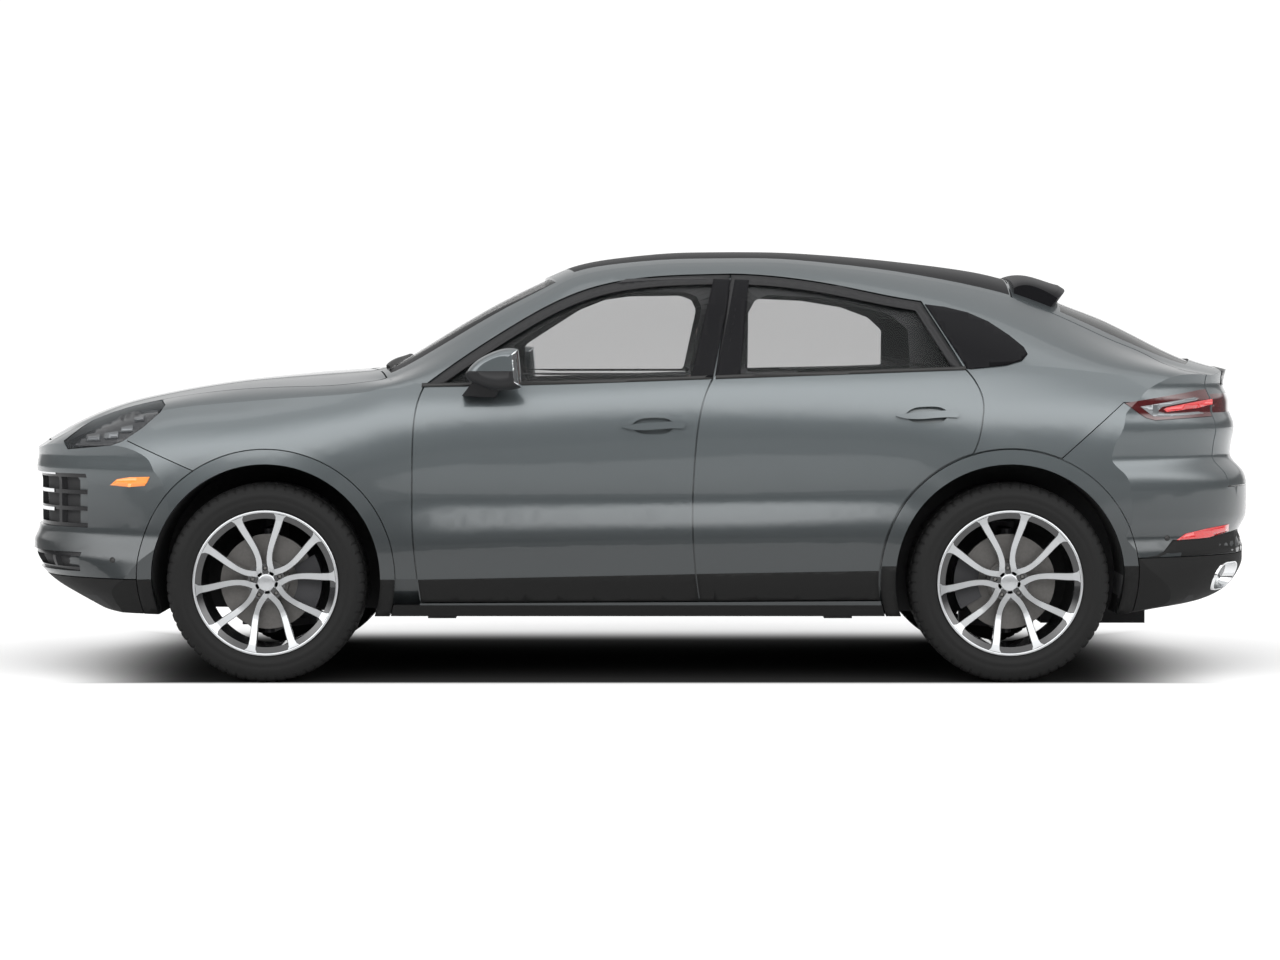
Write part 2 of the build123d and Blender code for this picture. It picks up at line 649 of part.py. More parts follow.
# ---- tail: tailgate, bumper, lamps ------------------------------------------
TAIL_HINGE_X, TAIL_HINGE_Z = -1478.0, 1594.0
TAIL_SILL_Z = 757.0
TAIL_LINE = symmetric(
    [(-1484, 0), (-1484, 300), (-1484, 545)],
    [(-1484, 545), (-1700, 560), (-1900, 566), (-2023, 576), (-2074, 612),
     (-2147, 648), (-2235, 668), (-2320, 672), (-2520, 672)],
    [(-2520, 672), (-2520, 300), (-2520, 0)],
)
TAIL_PRISM = along_z(TAIL_LINE, TAIL_SILL_Z, 1800)
TAIL_PADS = cut(one(both(block(-1500, -1470, 380, 460, 1300, 1700))),
                along_z(grown(TAIL_LINE, SEAT_GAP), 1200, 1800))
TAIL_CUT = cut(along_z(grown(TAIL_LINE, MOVE_GAP), TAIL_SILL_Z - MOVE_GAP, 1800), TAIL_PADS)
GLASS_LINE = symmetric(
    [(-1690, 0), (-1688, 300), (-1680, 518)],
    [(-1680, 518), (-1850, 522), (-2010, 528), (-2180, 535)],
    [(-2180, 535), (-2225, 300), (-2240, 0)],
)
LIGHT_LOW, LIGHT_HIGH, LIGHT_T = 1046.0, 1120.0, 30.0
light_slot = block(-2600, -2200, -664, 664, LIGHT_LOW, LIGHT_HIGH)
light_face = cut(light_slot, shifted(LIGHT_T, 0, 0))
keep("light_bar", largest(meet(light_face, OUTER)))
tailgate = meet(TAIL_PRISM, OUTER)
tailgate = largest(cut(tailgate, CABIN, along_z(GLASS_LINE, 1000, 1800), light_face))
keep("tailgate", tailgate)


def roof_pane(runs, z0, z1):
    """Glass set a little under the skin, cut straight down."""
    face = along_z(runs, z0, z1)
    return cut(meet(face, shifted(0, 0, -GLASS_INSET)),
               shifted(0, 0, -GLASS_INSET - GLASS_T))


keep("rear_glass", largest(roof_pane(GLASS_LINE, 1100, 1800)))

TAIL_LAMP_LINE = chain((-1886, 1088), (-1935, 1096), (-2216, 1137), (-2260, 1142),
                       (-2600, 1142), (-2600, 1040), (-2254, 1032), (-2010, 1021),
                       (-1972, 1030), (-1935, 1053))
tail_lamp_prism = along_y(TAIL_LAMP_LINE, 560, FAR)
tail_lamp_hole = along_y(grown(TAIL_LAMP_LINE, PANEL_GAP / 2), 560, FAR)
tail_lamp = largest(cut(meet(tail_lamp_prism, OUTER), LINING, TAIL_CUT))
keep("tail_lamps", *both(tail_lamp))

REAR_CLADDING_Z = 488.0
REAR_BUMPER_LINE = [(-1628, 866), (-1880, 1090)]
rear_zone = outline(
    [(-1600, 840), (-1880, 1088)], [(-1880, 1088), (-2600, 1088)],
    [(-2600, 1088), (-2600, REAR_CLADDING_Z)],
    [(-2600, REAR_CLADDING_Z), (-1600, REAR_CLADDING_Z)],
    [(-1600, REAR_CLADDING_Z), (-1600, 840)],
)
rear_bumper = skin_in(along_y(rear_zone, -FAR, FAR))
rear_bumper = cut(rear_bumper, REAR_ARCH, TAIL_CUT, both(tail_lamp_hole))
keep("rear_bumper", largest(rear_bumper))
REAR_ZONE_HOLE = outline(
    [(-1600 + PANEL_GAP, 840 + PANEL_GAP), (-1880, 1092)], [(-1880, 1092), (-2600, 1092)],
    [(-2600, 1092), (-2600, 0)], [(-2600, 0), (-1600, 0)],
    [(-1600, 0), (-1600 + PANEL_GAP, 840 + PANEL_GAP)],
)

# ---- lower cladding and arch trims ------------------------------------------
SILL_TOP = 300.0
FLOOR_HALF = 800.0
FLOOR_FRONT, FLOOR_REAR = 2200.0, -2180.0
FLOOR_BLOCK = block(FLOOR_REAR, FLOOR_FRONT, -FLOOR_HALF, FLOOR_HALF, 0, FLOOR_Z)
front_valance = skin_in(block(1700, 2600, -FAR, FAR, 0, CLADDING_Z - PANEL_GAP))
front_valance = largest(cut(front_valance, FRONT_ARCH, FLOOR_BLOCK))
rear_valance = skin_in(
    block(-2600, -1700, -FAR, FAR, 0, REAR_CLADDING_Z - PANEL_GAP)
)
TIP_Y, TIP_Z, TIP_HALF_W, TIP_HALF_H = 650.0, 398.0, 76.0, 56.0
TIP_WALL, TIP_PROUD = 5.0, 8.0


def tip_prism(grow):
    """Rounded bar along X in the outline of a tailpipe's tip."""
    half_h = TIP_HALF_H + grow
    bar = block(-2600, -2150, TIP_Y - TIP_HALF_W - grow, TIP_Y + TIP_HALF_W + grow,
                TIP_Z - half_h, TIP_Z + half_h)
    return fillet(bar.edges().filter_by(Axis.X), half_h - 6)


rear_valance = cut(rear_valance, REAR_ARCH, FLOOR_BLOCK, both(tip_prism(0)))
rear_valance = largest(rear_valance)
sill = meet(OUTER, block(REAR_AXLE_X, FRONT_AXLE_X, FLOOR_HALF, FAR, 0, SILL_TOP))
sill = largest(cut(sill, FRONT_ARCH, REAR_ARCH))
keep("lower_cladding", front_valance, rear_valance, *both(sill))

trims = []
for x in (FRONT_AXLE_X, REAR_AXLE_X):
    trim_in = FLOOR_HALF + PANEL_GAP
    ring = rod_y(x, ARCH_Z, TRIM_OUT_R, trim_in, FAR) - rod_y(x, ARCH_Z, ARCH_R, 0, FAR)
    trims += both(largest(skin_in(ring)))
keep("wheel_arch_trims", *trims)

# ---- roof, windscreen, quarter glass ----------------------------------------
ROOF_T = 24.0
ROOF_LINE = symmetric(
    [(318, 0), (308, 300), (262, 552)],
    [(262, 552), (-100, 542), (-700, 536), (-1474, 535)],
    [(-1474, 535), (-1474, 300), (-1474, 0)],
)
roof = cut(meet(along_z(ROOF_LINE, 1300, 1800), OUTER), shifted(0, 0, -ROOF_T))
keep("roof_panel", largest(roof))
ROOF_CUT = cut(along_z(ROOF_LINE, 1300, 1800), shifted(0, 0, -ROOF_T))
SCREEN_LINE = symmetric(
    [(1058, 0), (1045, 300), (985, 682)],
    [(985, 682), (870, 675), (622, 634), (330, 588)],
    [(330, 588), (382, 300), (392, 0)],
)
QUARTER_LINE = [[(-1158, 1452), (-1250, 1438), (-1330, 1405), (-1400, 1350)],
                [(-1400, 1350), (-1420, 1292), (-1395, 1264)],
                [(-1395, 1264), (-1282, 1250)], [(-1282, 1250), (-1158, 1452)]]
quarter = pane(outline(*QUARTER_LINE))
keep("windscreen", largest(roof_pane(SCREEN_LINE, 1100, 1800)))
keep("quarter_glass", *both(largest(quarter)), least=500)

# ---- floor and body shell ---------------------------------------------------
AXLE_SLOT = 150.0  # half length of the openings for the axles in the floor
SLOTS = [
    block(x - AXLE_SLOT, x + AXLE_SLOT, -FLOOR_HALF, FLOOR_HALF, 0, FLOOR_Z)
    for x in (FRONT_AXLE_X, REAR_AXLE_X)
]
floor_pan = cut(meet(OUTER, FLOOR_BLOCK), WELLS, SLOTS)
PAD_X, PAD_Y, PAD_LOW = 780.0, 740.0, 238.0  # jacking pads under the sills
PAD_LONG, PAD_WIDE = 110.0, 70.0
pads = [block(x - PAD_LONG / 2, x + PAD_LONG / 2, y - PAD_WIDE / 2, y + PAD_WIDE / 2,
              PAD_LOW, FLOOR_Z - 50) for x in (PAD_X, -PAD_X) for y in (PAD_Y, -PAD_Y)]
pieces = [s for s in solids_of(floor_pan) if s.volume > 1e5]
middle = max(pieces, key=lambda s: s.volume)
keep("floor_pan", middle.fuse(*pads), *[s for s in pieces if s is not middle])

BAY = block(DASH_X + 70, 2280, -FRONT_WELL_Y + 30, FRONT_WELL_Y - 30, FLOOR_Z, 1400)
BAY_TOP = meet(along_z(grown(HOOD_LINE, -34), 880, 1400),
               block(1140, 2280, -700, 700, 800, 1400))
NOSE_SKIN = cut(along_y(FRONT_ZONE, -FAR, FAR), INNER, COWL)
REAR_ZONE = along_y(REAR_ZONE_HOLE, -FAR, FAR).fuse(
    rod_y(REAR_AXLE_X, ARCH_Z, TRIM_OUT_R + PANEL_GAP + MOVE_GAP / 2, -FAR, FAR)
)
REAR_SKIN = cut(REAR_ZONE, INNER)
LAMP_SEATS = cut(one(solids_of(both(LAMP_PRISM), both(tail_lamp_prism))), LINING)
SILL_BLOCK = block(REAR_AXLE_X, FRONT_AXLE_X, FLOOR_HALF, FAR, 0, SILL_TOP)
body = largest(cut(OUTER, FLOOR_BLOCK, both(SILL_BLOCK), CABIN, NOSE_SKIN, REAR_SKIN))
body = cut(body, TAIL_CUT, ROOF_CUT, along_z(SCREEN_LINE, 1050, 1800))
body = cut(body, both(along_y(QUARTER_LINE, 400, FAR)), BAY, BAY_TOP, HOOD_CUT)
body = largest(cut(body, LAMP_SEATS, WELLS))
body = largest(cut(body, DOOR_CUTS))
keep("body_shell", body)

# ---- wheels -----------------------------------------------------------------
# A corner is drawn with the hub's axis on Y and y = 0 on the tyre's outer face, so
# that everything behind it lies at negative y. All four corners share the layout.
SEAT_R = 262.0  # where the tyre sits on the rim
BARREL_R = 251.0  # inside of the rim
LIP_IN = 8.0  # rim flange behind the tyre's face
SPOKE_PAIRS = 5
SPOKE_W_IN, SPOKE_W_OUT = 22.0, 31.0
SPOKE_DEPTH = 34.0
SPOKE_PATH = [(60, 23.0), (118, 12.5), (170, 15.0), (256, 18.0)]  # radius, degrees
LUG_TURN = 84.4  # angle of the first lug bolt
HUB_R = 74.0
HUB_FACE = -52.0
MOUNT = -92.5  # where the wheel meets its brake disc
BOLT_CIRCLE_R, BOLT_R = 56.0, 9.0
AXLE_R, AXLE_FIT = 32.0, 0.05
AXLE_END = MOUNT + 34.0
DISC_R, DISC_T = 186.0, 28.0
HAT_R, HAT_T, HAT_DEPTH = 84.0, 8.0, 24.0
PLAY = 5.0  # from brake disc to caliper
CALIPER_IN_R, CALIPER_OUT_R = 118.0, DISC_R + 26.0
CALIPER_HALF_ANGLE = 30.0
UPRIGHT_IN, UPRIGHT_OUT = MOUNT - 82.0, MOUNT - 58.0
STEER_Y = WHEEL_FACE_Y + (UPRIGHT_IN + UPRIGHT_OUT) / 2
UPRIGHT_HALF, UPRIGHT_REACH = 30.0, 176.0  # half width, and height above the hub


def ring_y(points):
    """Solid of revolution about Y from (radius, y) points."""
    face = Face(Wire.make_polygon([Vector(r, y, 0) for r, y in points], close=True))
    return revolve(face, Axis.Y, 360)


def make_tyre(width):
    wall = TYRE_R - RIM_R
    half = [
        (SEAT_R, 22), (RIM_R + 2, 14), (RIM_R + wall * 0.35, 2), (RIM_R + wall * 0.6, 0),
        (TYRE_R - 24, 9), (TYRE_R - 5, 25), (TYRE_R, 46),
    ]
    return ring_y([(r, -y) for r, y in half] + [(r, y - width) for r, y in half[::-1]])


def spoke(lug, sign):
    """One swept arm from the hub to the barrel, cut to depth later."""
    left, right = [], []
    for radius, turn in SPOKE_PATH:
        share = (radius - SPOKE_PATH[0][0]) / (SPOKE_PATH[-1][0] - SPOKE_PATH[0][0])
        half = (SPOKE_W_IN + (SPOKE_W_OUT - SPOKE_W_IN) * share) / 2
        for line, s in ((left, 1), (right, -1)):
            a = radians(lug + sign * turn) + s * half / radius
            line.append((radius * cos(a), radius * sin(a)))
    right = right[::-1]
    return along_y([left, [left[-1], right[0]], right, [right[-1], left[0]]], MOUNT, 0)


def make_rim(width):
    back = -width
    barrel = ring_y([
        (BARREL_R, back + LIP_IN), (RIM_R, back + LIP_IN), (RIM_R, back + 14),
        (SEAT_R, back + 22), (SEAT_R, -22), (RIM_R, -14), (RIM_R, -LIP_IN),
        (RIM_R - 11, -LIP_IN), (BARREL_R, -22),
    ])
    hub = rod_y(0, 0, HUB_R, MOUNT, HUB_FACE)
    dish = ring_y([
        (HUB_R - 16, HUB_FACE - SPOKE_DEPTH), (HUB_R - 16, HUB_FACE), (140, HUB_FACE + 6),
        (BARREL_R + 4, -22), (BARREL_R + 4, -22 - SPOKE_DEPTH), (140, HUB_FACE - SPOKE_DEPTH + 4),
    ])
    arms, bolts = [], []
    for k in range(SPOKE_PAIRS):
        lug = LUG_TURN + 360 / SPOKE_PAIRS * k
        arms += [meet(spoke(lug, sign), dish) for sign in (-1, 1)]
        a = radians(lug)
        bolts.append(rod_y(BOLT_CIRCLE_R * cos(a), BOLT_CIRCLE_R * sin(a), BOLT_R,
                           HUB_FACE - 16, HUB_FACE + 5))
    rim = barrel.fuse(hub, *arms)
    return largest(cut(rim, rod_y(0, 0, AXLE_R, MOUNT, MOUNT + 38), bolts))


def make_disc():
    hat_in = MOUNT - HAT_DEPTH
    return ring_y([
        (AXLE_R + 4, MOUNT - HAT_T), (AXLE_R + 4, MOUNT), (HAT_R, MOUNT), (HAT_R, hat_in),
        (DISC_R, hat_in), (DISC_R, hat_in - DISC_T), (HAT_R - HAT_T, hat_in - DISC_T),
        (HAT_R - HAT_T, MOUNT - HAT_T),
    ])


def make_knuckle(side):
    """Upright, stub axle and caliper; the caliper is to the front (+1) or rear (-1)."""
    disc_out = MOUNT - HAT_DEPTH + PLAY
    disc_in = MOUNT - HAT_DEPTH - DISC_T - PLAY
    ring = ring_y([(CALIPER_IN_R, UPRIGHT_IN), (CALIPER_OUT_R, UPRIGHT_IN),
                   (CALIPER_OUT_R, MOUNT - 1), (CALIPER_IN_R, MOUNT - 1)])
    rise = 300 * sin(radians(CALIPER_HALF_ANGLE)) / cos(radians(CALIPER_HALF_ANGLE))
    wedge = chain((0, 0), (side * 300, rise), (side * 300, -rise))
    caliper = meet(ring, along_y(wedge, 1.2 * UPRIGHT_IN, 0))
    caliper = cut(caliper, rod_y(0, 0, DISC_R + PLAY, disc_in, disc_out))
    plate = rod_y(0, 0, 68, UPRIGHT_IN, UPRIGHT_OUT)
    stub = rod_y(0, 0, AXLE_R - AXLE_FIT, UPRIGHT_IN, AXLE_END)
    upright = block(-UPRIGHT_HALF, UPRIGHT_HALF, UPRIGHT_IN, UPRIGHT_OUT,
                    -UPRIGHT_REACH, UPRIGHT_REACH)
    reach = sorted((0, side * (CALIPER_IN_R + 20)))
    arm = block(*reach, UPRIGHT_IN, UPRIGHT_OUT, -40, 40)
    return largest(upright.fuse(plate, stub, arm, caliper))


def place(shape, x, side):
    """Moves a corner's piece to the car; side is +1 on the left, -1 on the right."""
    moved = Pos(x, WHEEL_FACE_Y, HUB_Z) * shape
    return moved if side > 0 else mirror(moved, about=Plane.XZ)


CORNERS = [
    ("front", FRONT_AXLE_X, FRONT_TYRE_W, FRONT_WELL_Y, -1),
    ("rear", REAR_AXLE_X, REAR_TYRE_W, REAR_WELL_Y, 1),
]
disc = make_disc()
for end, x, width, _, caliper_side in CORNERS:
    tyre, rim, knuckle = make_tyre(width), make_rim(width), make_knuckle(caliper_side)
    for side, name in ((1, "left"), (-1, "right")):
        keep(f"{end}_tyre_{name}", place(tyre, x, side))
        keep(f"{end}_rim_{name}", place(rim, x, side))
        keep(f"{end}_brake_disc_{name}", place(disc, x, side))
        if end == "front":
            keep(f"{end}_knuckle_{name}", place(knuckle, x, side))

# ---- suspension arms and subframes ------------------------------------------
FRAME_HALF, FRAME_TUBE = 380.0, 30.0
ARM_T = 28.0
ARM_HALF = 20.0  # half width of an arm inside the wheel
ARM_TIP_HALF = 5.0
ARM_NECK_Y = 520.0  # further in than the steered tyre reaches
ARM_SPREAD = 120.0


def arm_end(x):
    """Left arm's outer end from above: it tapers, so the turned disc clears it."""
    half = [(ARM_HALF, STEER_Y - 30), (ARM_HALF, STEER_Y - 6), (ARM_TIP_HALF, STEER_Y + 11)]
    return [(x - dx, y) for dx, y in half] + [(x + dx, y) for dx, y in half[::-1]]


def lower_arm(x):
    """Left wishbone from the subframe out to the ball joint under the upright."""
    top = HUB_Z - UPRIGHT_REACH - SEAT_GAP
    root = FRAME_HALF + FRAME_TUBE - 2
    points = [(x - ARM_SPREAD, root), (x - ARM_HALF - 20, ARM_NECK_Y), *arm_end(x),
              (x + ARM_HALF + 20, ARM_NECK_Y), (x + ARM_SPREAD, root)]
    return along_z(chain(*points), top - ARM_T, top)


def upper_arm(x, wall_y):
    """Left link from the wall of the wheel well to the top of the upright."""
    low = HUB_Z + UPRIGHT_REACH + SEAT_GAP
    root = wall_y + SEAT_GAP
    link = along_z(chain((x - ARM_HALF, root), *arm_end(x), (x + ARM_HALF, root)),
                   low, low + ARM_T)
    foot = block(x - 45, x + 45, wall_y + SEAT_GAP, wall_y + 10, low - 20, low + 48)
    return link.fuse(foot)


for end, x, width, wall_y, _ in CORNERS:
    low = HUB_Z - UPRIGHT_REACH - ARM_T - SEAT_GAP
    frame = block(x - 45, x + 45, -FRAME_HALF, FRAME_HALF, low, FLOOR_Z - 60)
    rails = [block(x - AXLE_SLOT + SEAT_GAP, x + AXLE_SLOT - SEAT_GAP, y - FRAME_TUBE,
                   y + FRAME_TUBE, low, FLOOR_Z - 40) for y in (-FRAME_HALF, FRAME_HALF)]
    frame = frame.fuse(*rails, *both(lower_arm(x)))
    fixed = both(place(make_knuckle(1), x, 1)) if end == "rear" else []
    keep(f"{end}_suspension", frame, *both(upper_arm(x, wall_y)), *fixed)

# ---- engine and exhaust -----------------------------------------------------
keep("engine_block", block(1230, 1760, -230, 230, FLOOR_Z, 860))
silencer = block(-2040, -1620, -400, 400, 190, 290)
silencer = largest(cut(silencer, shifted(0, 0, -SEAT_GAP)))
tip = meet(tip_prism(-SEAT_GAP), shifted(-TIP_PROUD, 0, 0))
tip = largest(cut(tip, INNER.moved(Location((-SEAT_GAP, 0, 0))), tip_prism(-TIP_WALL)))
keep("exhaust", silencer, *both(tip))

# ---- cabin ------------------------------------------------------------------
DASH_BACK = 700.0
dash = outline([(DASH_X, 700), (DASH_X, 1128)], [(DASH_X, 1128), (900, 1130)],
               [(900, 1130), (800, 1120), (730, 1070), (DASH_BACK, 980)],
               [(DASH_BACK, 980), (740, 760), (830, 660)], [(830, 660), (DASH_X, 700)])
dash = meet(along_y(dash, -DOOR_INNER_Y + 12, DOOR_INNER_Y - 12), CABIN)
dash = largest(dash)
console = outline([(780, FLOOR_Z), (780, 655)], [(780, 655), (500, 640)],
                  [(500, 640), (330, 610), (-120, 600)], [(-120, 600), (-160, FLOOR_Z)],
                  [(-160, FLOOR_Z), (780, FLOOR_Z)])
console = along_y(console, -125, 125)
keep("dashboard", dash, largest(cut(console, dash)))
WHEEL_X, WHEEL_Y, WHEEL_Z, WHEEL_TILT = 450.0, 370.0, 1130.0, 22.0
RING_R, RING_TUBE = 178.0, 15.0
# Drawn flat, the driver's side up and the wheel's upper edge towards +X.
steering = Torus(RING_R, RING_TUBE).fuse(
    Cylinder(52, 34), Box(30, 2 * RING_R, 14), Pos(-RING_R / 2, 0, 0) * Box(RING_R, 34, 14),
    Pos(0, 0, -155) * Cylinder(28, 290),
)
steering = Pos(WHEEL_X, WHEEL_Y, WHEEL_Z) * Rot(0, WHEEL_TILT - 90, 0) * steering
keep("steering_wheel", largest(cut(steering, NODES["dashboard"])))


def seat_profile(front_x, back_x, base_z, cushion_z, top_z):
    """Side view of a seat: cushion, back and head restraint."""
    return outline(
        [(front_x, base_z), (front_x + 20, cushion_z - 60), (front_x - 30, cushion_z)],
        [(front_x - 30, cushion_z), (back_x + 130, cushion_z - 40)],
        [(back_x + 130, cushion_z - 40), (back_x, top_z)],
        [(back_x, top_z), (back_x - 90, top_z)],
        [(back_x - 90, top_z), (back_x + 10, base_z)],
        [(back_x + 10, base_z), (front_x, base_z)],
    )


def make_seat(front_x, back_x, half, head_top):
    base = along_y(seat_profile(front_x, back_x, FLOOR_Z, 640, 1240), -half, half)
    head = along_y(outline([(back_x + 5, 1240), (back_x - 10, head_top)],
                           [(back_x - 10, head_top), (back_x - 95, head_top)],
                           [(back_x - 95, head_top), (back_x - 85, 1240)],
                           [(back_x - 85, 1240), (back_x + 5, 1240)]), -130, 130)
    return base.fuse(head)


front_seat = make_seat(390, -230, 255, 1400)
keep("front_seats", *[Pos(0, y, 0) * front_seat for y in (-400, 400)])
keep("rear_seat", along_y(seat_profile(-480, -1000, FLOOR_Z, 660, 1180), -560, 560))

# ---- mirrors ----------------------------------------------------------------
MIRROR_OUT = 1097.0
MIRROR_CENTRE = (560.0, 1225.0)
MIRROR_SIDE = [(672, 1203), (640, 1245), (580, 1282), (510, 1302), (470, 1298)]
MIRROR_FOOT = [(458, 1152), (540, 1140), (620, 1158), (664, 1184), (672, 1203)]
MIRROR_LEVELS = [(966, 0.72), (985, 0.92), (1030, 1.0), (1072, 0.93), (1090, 0.78),
                 (MIRROR_OUT, 0.55)]  # y, scale of the side view


def mirror_section(y, size):
    cx, cz = MIRROR_CENTRE
    edges = []
    for run in (MIRROR_SIDE, [MIRROR_SIDE[-1], MIRROR_FOOT[0]], MIRROR_FOOT):
        points = [Vector(cx + (x - cx) * size, y, cz + (z - cz) * size) for x, z in run]
        edges.append(Edge.make_line(*points) if len(points) == 2
                     else Edge.make_spline(points))
    return Wire(edges)


head = Solid.make_loft([mirror_section(*level) for level in MIRROR_LEVELS])
stalk = chain((688, 1118), (560, 1112), (530, 1175), (640, 1180))
head = head.fuse(along_y(stalk, 880, 1010))
mirror_left = largest(cut(head, NODES["front_door_left"], NODES["front_door_glass_left"]))
for name, m in zip(("left", "right"), both(mirror_left)):
    keep(f"mirror_{name}", m)

# ---- roof spoiler -----------------------------------------------------------
WING_FRONT, WING_REAR, WING_TOP = -1496.0, -1734.0, 1598.0
# y, how far the section drops and how far its rear edge moves forward there
WING_LEVELS = [(0, 0, 0), (170, 3, 4), (330, 14, 16), (450, 30, 38), (506, 46, 64)]


def wing_section(y, drop, pull):
    """Side view of the wing: its foot is cut to the body later."""
    rear, top = WING_REAR + pull, WING_TOP - drop
    front_top = [(WING_FRONT, top - 12), (-1530, top), ((rear - 1530) / 2, top - 14),
                 (rear + 22, top - 38)]
    runs = [[(WING_FRONT, 1440), front_top[0]], front_top,
            [front_top[-1], (rear, top - 52)], [(rear, top - 52), (rear + 34, top - 98)],
            [(rear + 34, top - 98), (rear + 60, 1440)], [(rear + 60, 1440), (WING_FRONT, 1440)]]
    return outline(*runs).moved(Location((0, y, 0))).outer_wire()


levels = [(-y, drop, pull) for y, drop, pull in WING_LEVELS[:0:-1]] + WING_LEVELS
wing = Solid.make_loft([wing_section(*level) for level in levels])
keep("roof_spoiler", largest(cut(wing, OUTER)))

if __name__ == "__main__":
    os.makedirs("parts", exist_ok=True)
    for name, node in NODES.items():
        export_step(node, f"parts/{name}.step", write_pcurves=False)
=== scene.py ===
import math

import bmesh
import bpy
import numpy as np
from mathutils import Matrix, Vector
from mathutils.bvhtree import BVHTree


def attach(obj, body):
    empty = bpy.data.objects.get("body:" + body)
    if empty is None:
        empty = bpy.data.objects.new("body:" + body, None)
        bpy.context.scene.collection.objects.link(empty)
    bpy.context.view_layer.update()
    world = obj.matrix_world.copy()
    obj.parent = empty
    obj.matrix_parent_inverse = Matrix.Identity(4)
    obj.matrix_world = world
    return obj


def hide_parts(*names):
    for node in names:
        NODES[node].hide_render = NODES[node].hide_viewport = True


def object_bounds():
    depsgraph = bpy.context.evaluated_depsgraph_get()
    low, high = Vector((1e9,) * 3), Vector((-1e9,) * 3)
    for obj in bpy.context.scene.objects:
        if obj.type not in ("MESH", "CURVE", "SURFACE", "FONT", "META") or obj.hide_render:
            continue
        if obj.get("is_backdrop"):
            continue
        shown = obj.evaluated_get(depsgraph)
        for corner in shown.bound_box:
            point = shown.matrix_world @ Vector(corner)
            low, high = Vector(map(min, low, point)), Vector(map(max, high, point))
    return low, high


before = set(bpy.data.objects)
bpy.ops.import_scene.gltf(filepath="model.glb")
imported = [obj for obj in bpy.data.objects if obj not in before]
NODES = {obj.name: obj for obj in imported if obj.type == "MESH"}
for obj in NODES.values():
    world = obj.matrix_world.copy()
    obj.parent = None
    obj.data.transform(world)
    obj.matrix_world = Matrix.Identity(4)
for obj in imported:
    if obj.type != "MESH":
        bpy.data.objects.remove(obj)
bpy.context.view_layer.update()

# The frame: +X to the nose, +Y to the car's left, +Z up, origin on the ground. Metres.
FRONT_AXLE, REAR_AXLE = 1.456, -1.439
HUB_Z = 0.389
TYRE_R = 0.389
FACE_Y = 0.970  # outer face of the tyres
FRONT_W, REAR_W = 0.285, 0.315
SIDES = (("left", 1), ("right", -1))


# ---- materials --------------------------------------------------------------
def material(name, colour, rough, metal=0.0, coat=0.0, **sockets):
    """A Principled material whose constant values sit on its own sockets."""
    mat = bpy.data.materials.new(name)
    mat.use_nodes = True
    bsdf = mat.node_tree.nodes["Principled BSDF"]
    bsdf.inputs["Base Color"].default_value = (*colour, 1.0)
    bsdf.inputs["Roughness"].default_value = rough
    bsdf.inputs["Metallic"].default_value = metal
    bsdf.inputs["Coat Weight"].default_value = coat
    for key, value in sockets.items():
        bsdf.inputs[key.replace("_", " ")].default_value = value
    mat.diffuse_color = (*colour, 1.0)
    return mat


def grain(mat, size, height, detail=2.0):
    """Fine surface relief from noise in object coordinates."""
    tree = mat.node_tree
    place = tree.nodes.new("ShaderNodeTexCoord")
    noise = tree.nodes.new("ShaderNodeTexNoise")
    noise.inputs["Scale"].default_value = 1 / size
    noise.inputs["Detail"].default_value = detail
    bump = tree.nodes.new("ShaderNodeBump")
    bump.inputs["Strength"].default_value = 1.0
    bump.inputs["Distance"].default_value = height
    tree.links.new(place.outputs["Object"], noise.inputs["Vector"])
    tree.links.new(noise.outputs["Fac"], bump.inputs["Height"])
    tree.links.new(bump.outputs["Normal"], tree.nodes["Principled BSDF"].inputs["Normal"])
    return mat


def mottled(mat, size, low, high):
    """Base colour that drifts between two colours with noise."""
    tree = mat.node_tree
    place = tree.nodes.new("ShaderNodeTexCoord")
    noise = tree.nodes.new("ShaderNodeTexNoise")
    noise.inputs["Scale"].default_value = 1 / size
    ramp = tree.nodes.new("ShaderNodeValToRGB")
    ramp.color_ramp.elements[0].color = (*low, 1)
    ramp.color_ramp.elements[1].color = (*high, 1)
    tree.links.new(place.outputs["Object"], noise.inputs["Vector"])
    tree.links.new(noise.outputs["Fac"], ramp.inputs["Fac"])
    tree.links.new(ramp.outputs["Color"], tree.nodes["Principled BSDF"].inputs["Base Color"])
    return mat


PAINT_LOW, PAINT_HIGH = (0.092, 0.106, 0.112), (0.098, 0.112, 0.118)
PAINTED_SHADE_Z = (0.45, 0.98, 0.34)  # painted shade, darker towards the sills: the heights it runs between, then the sills' share of the shoulder's brightness
PAINT = mottled(material("paint", PAINT_LOW, 0.34, 0.70, 0.8, Coat_Roughness=0.05),
                0.004, PAINT_LOW, PAINT_HIGH)
GLOSS = material("gloss_black", (0.007, 0.007, 0.008), 0.20, 0.0, 0.0,
                 Specular_IOR_Level=0.30)
ROOF = material("roof_black", (0.005, 0.005, 0.006), 0.40, 0.0, 0.0,
                Specular_IOR_Level=0.08)
SATIN = material("satin_black", (0.012, 0.012, 0.013), 0.42, 0.0, 0.0,
                 Specular_IOR_Level=0.25)
PLASTIC = grain(material("grained_plastic", (0.008, 0.008, 0.008), 0.62, 0.0, 0.0,
                         Specular_IOR_Level=0.15), 0.002, 0.0003)
RUBBER = grain(material("rubber", (0.006, 0.006, 0.006), 0.60, 0.0, 0.0,
                        Specular_IOR_Level=0.20), 0.004, 0.0003)
SEAL = material("seal", (0.006, 0.006, 0.006), 0.5)
SILVER = grain(material("machined_silver", (0.46, 0.47, 0.48), 0.28, 0.9, 0.3), 0.01, 0.00005)
RIM_BLACK = grain(material("rim_black", (0.012, 0.012, 0.013), 0.22, 0.2, 1.0), 0.05, 0.0001)
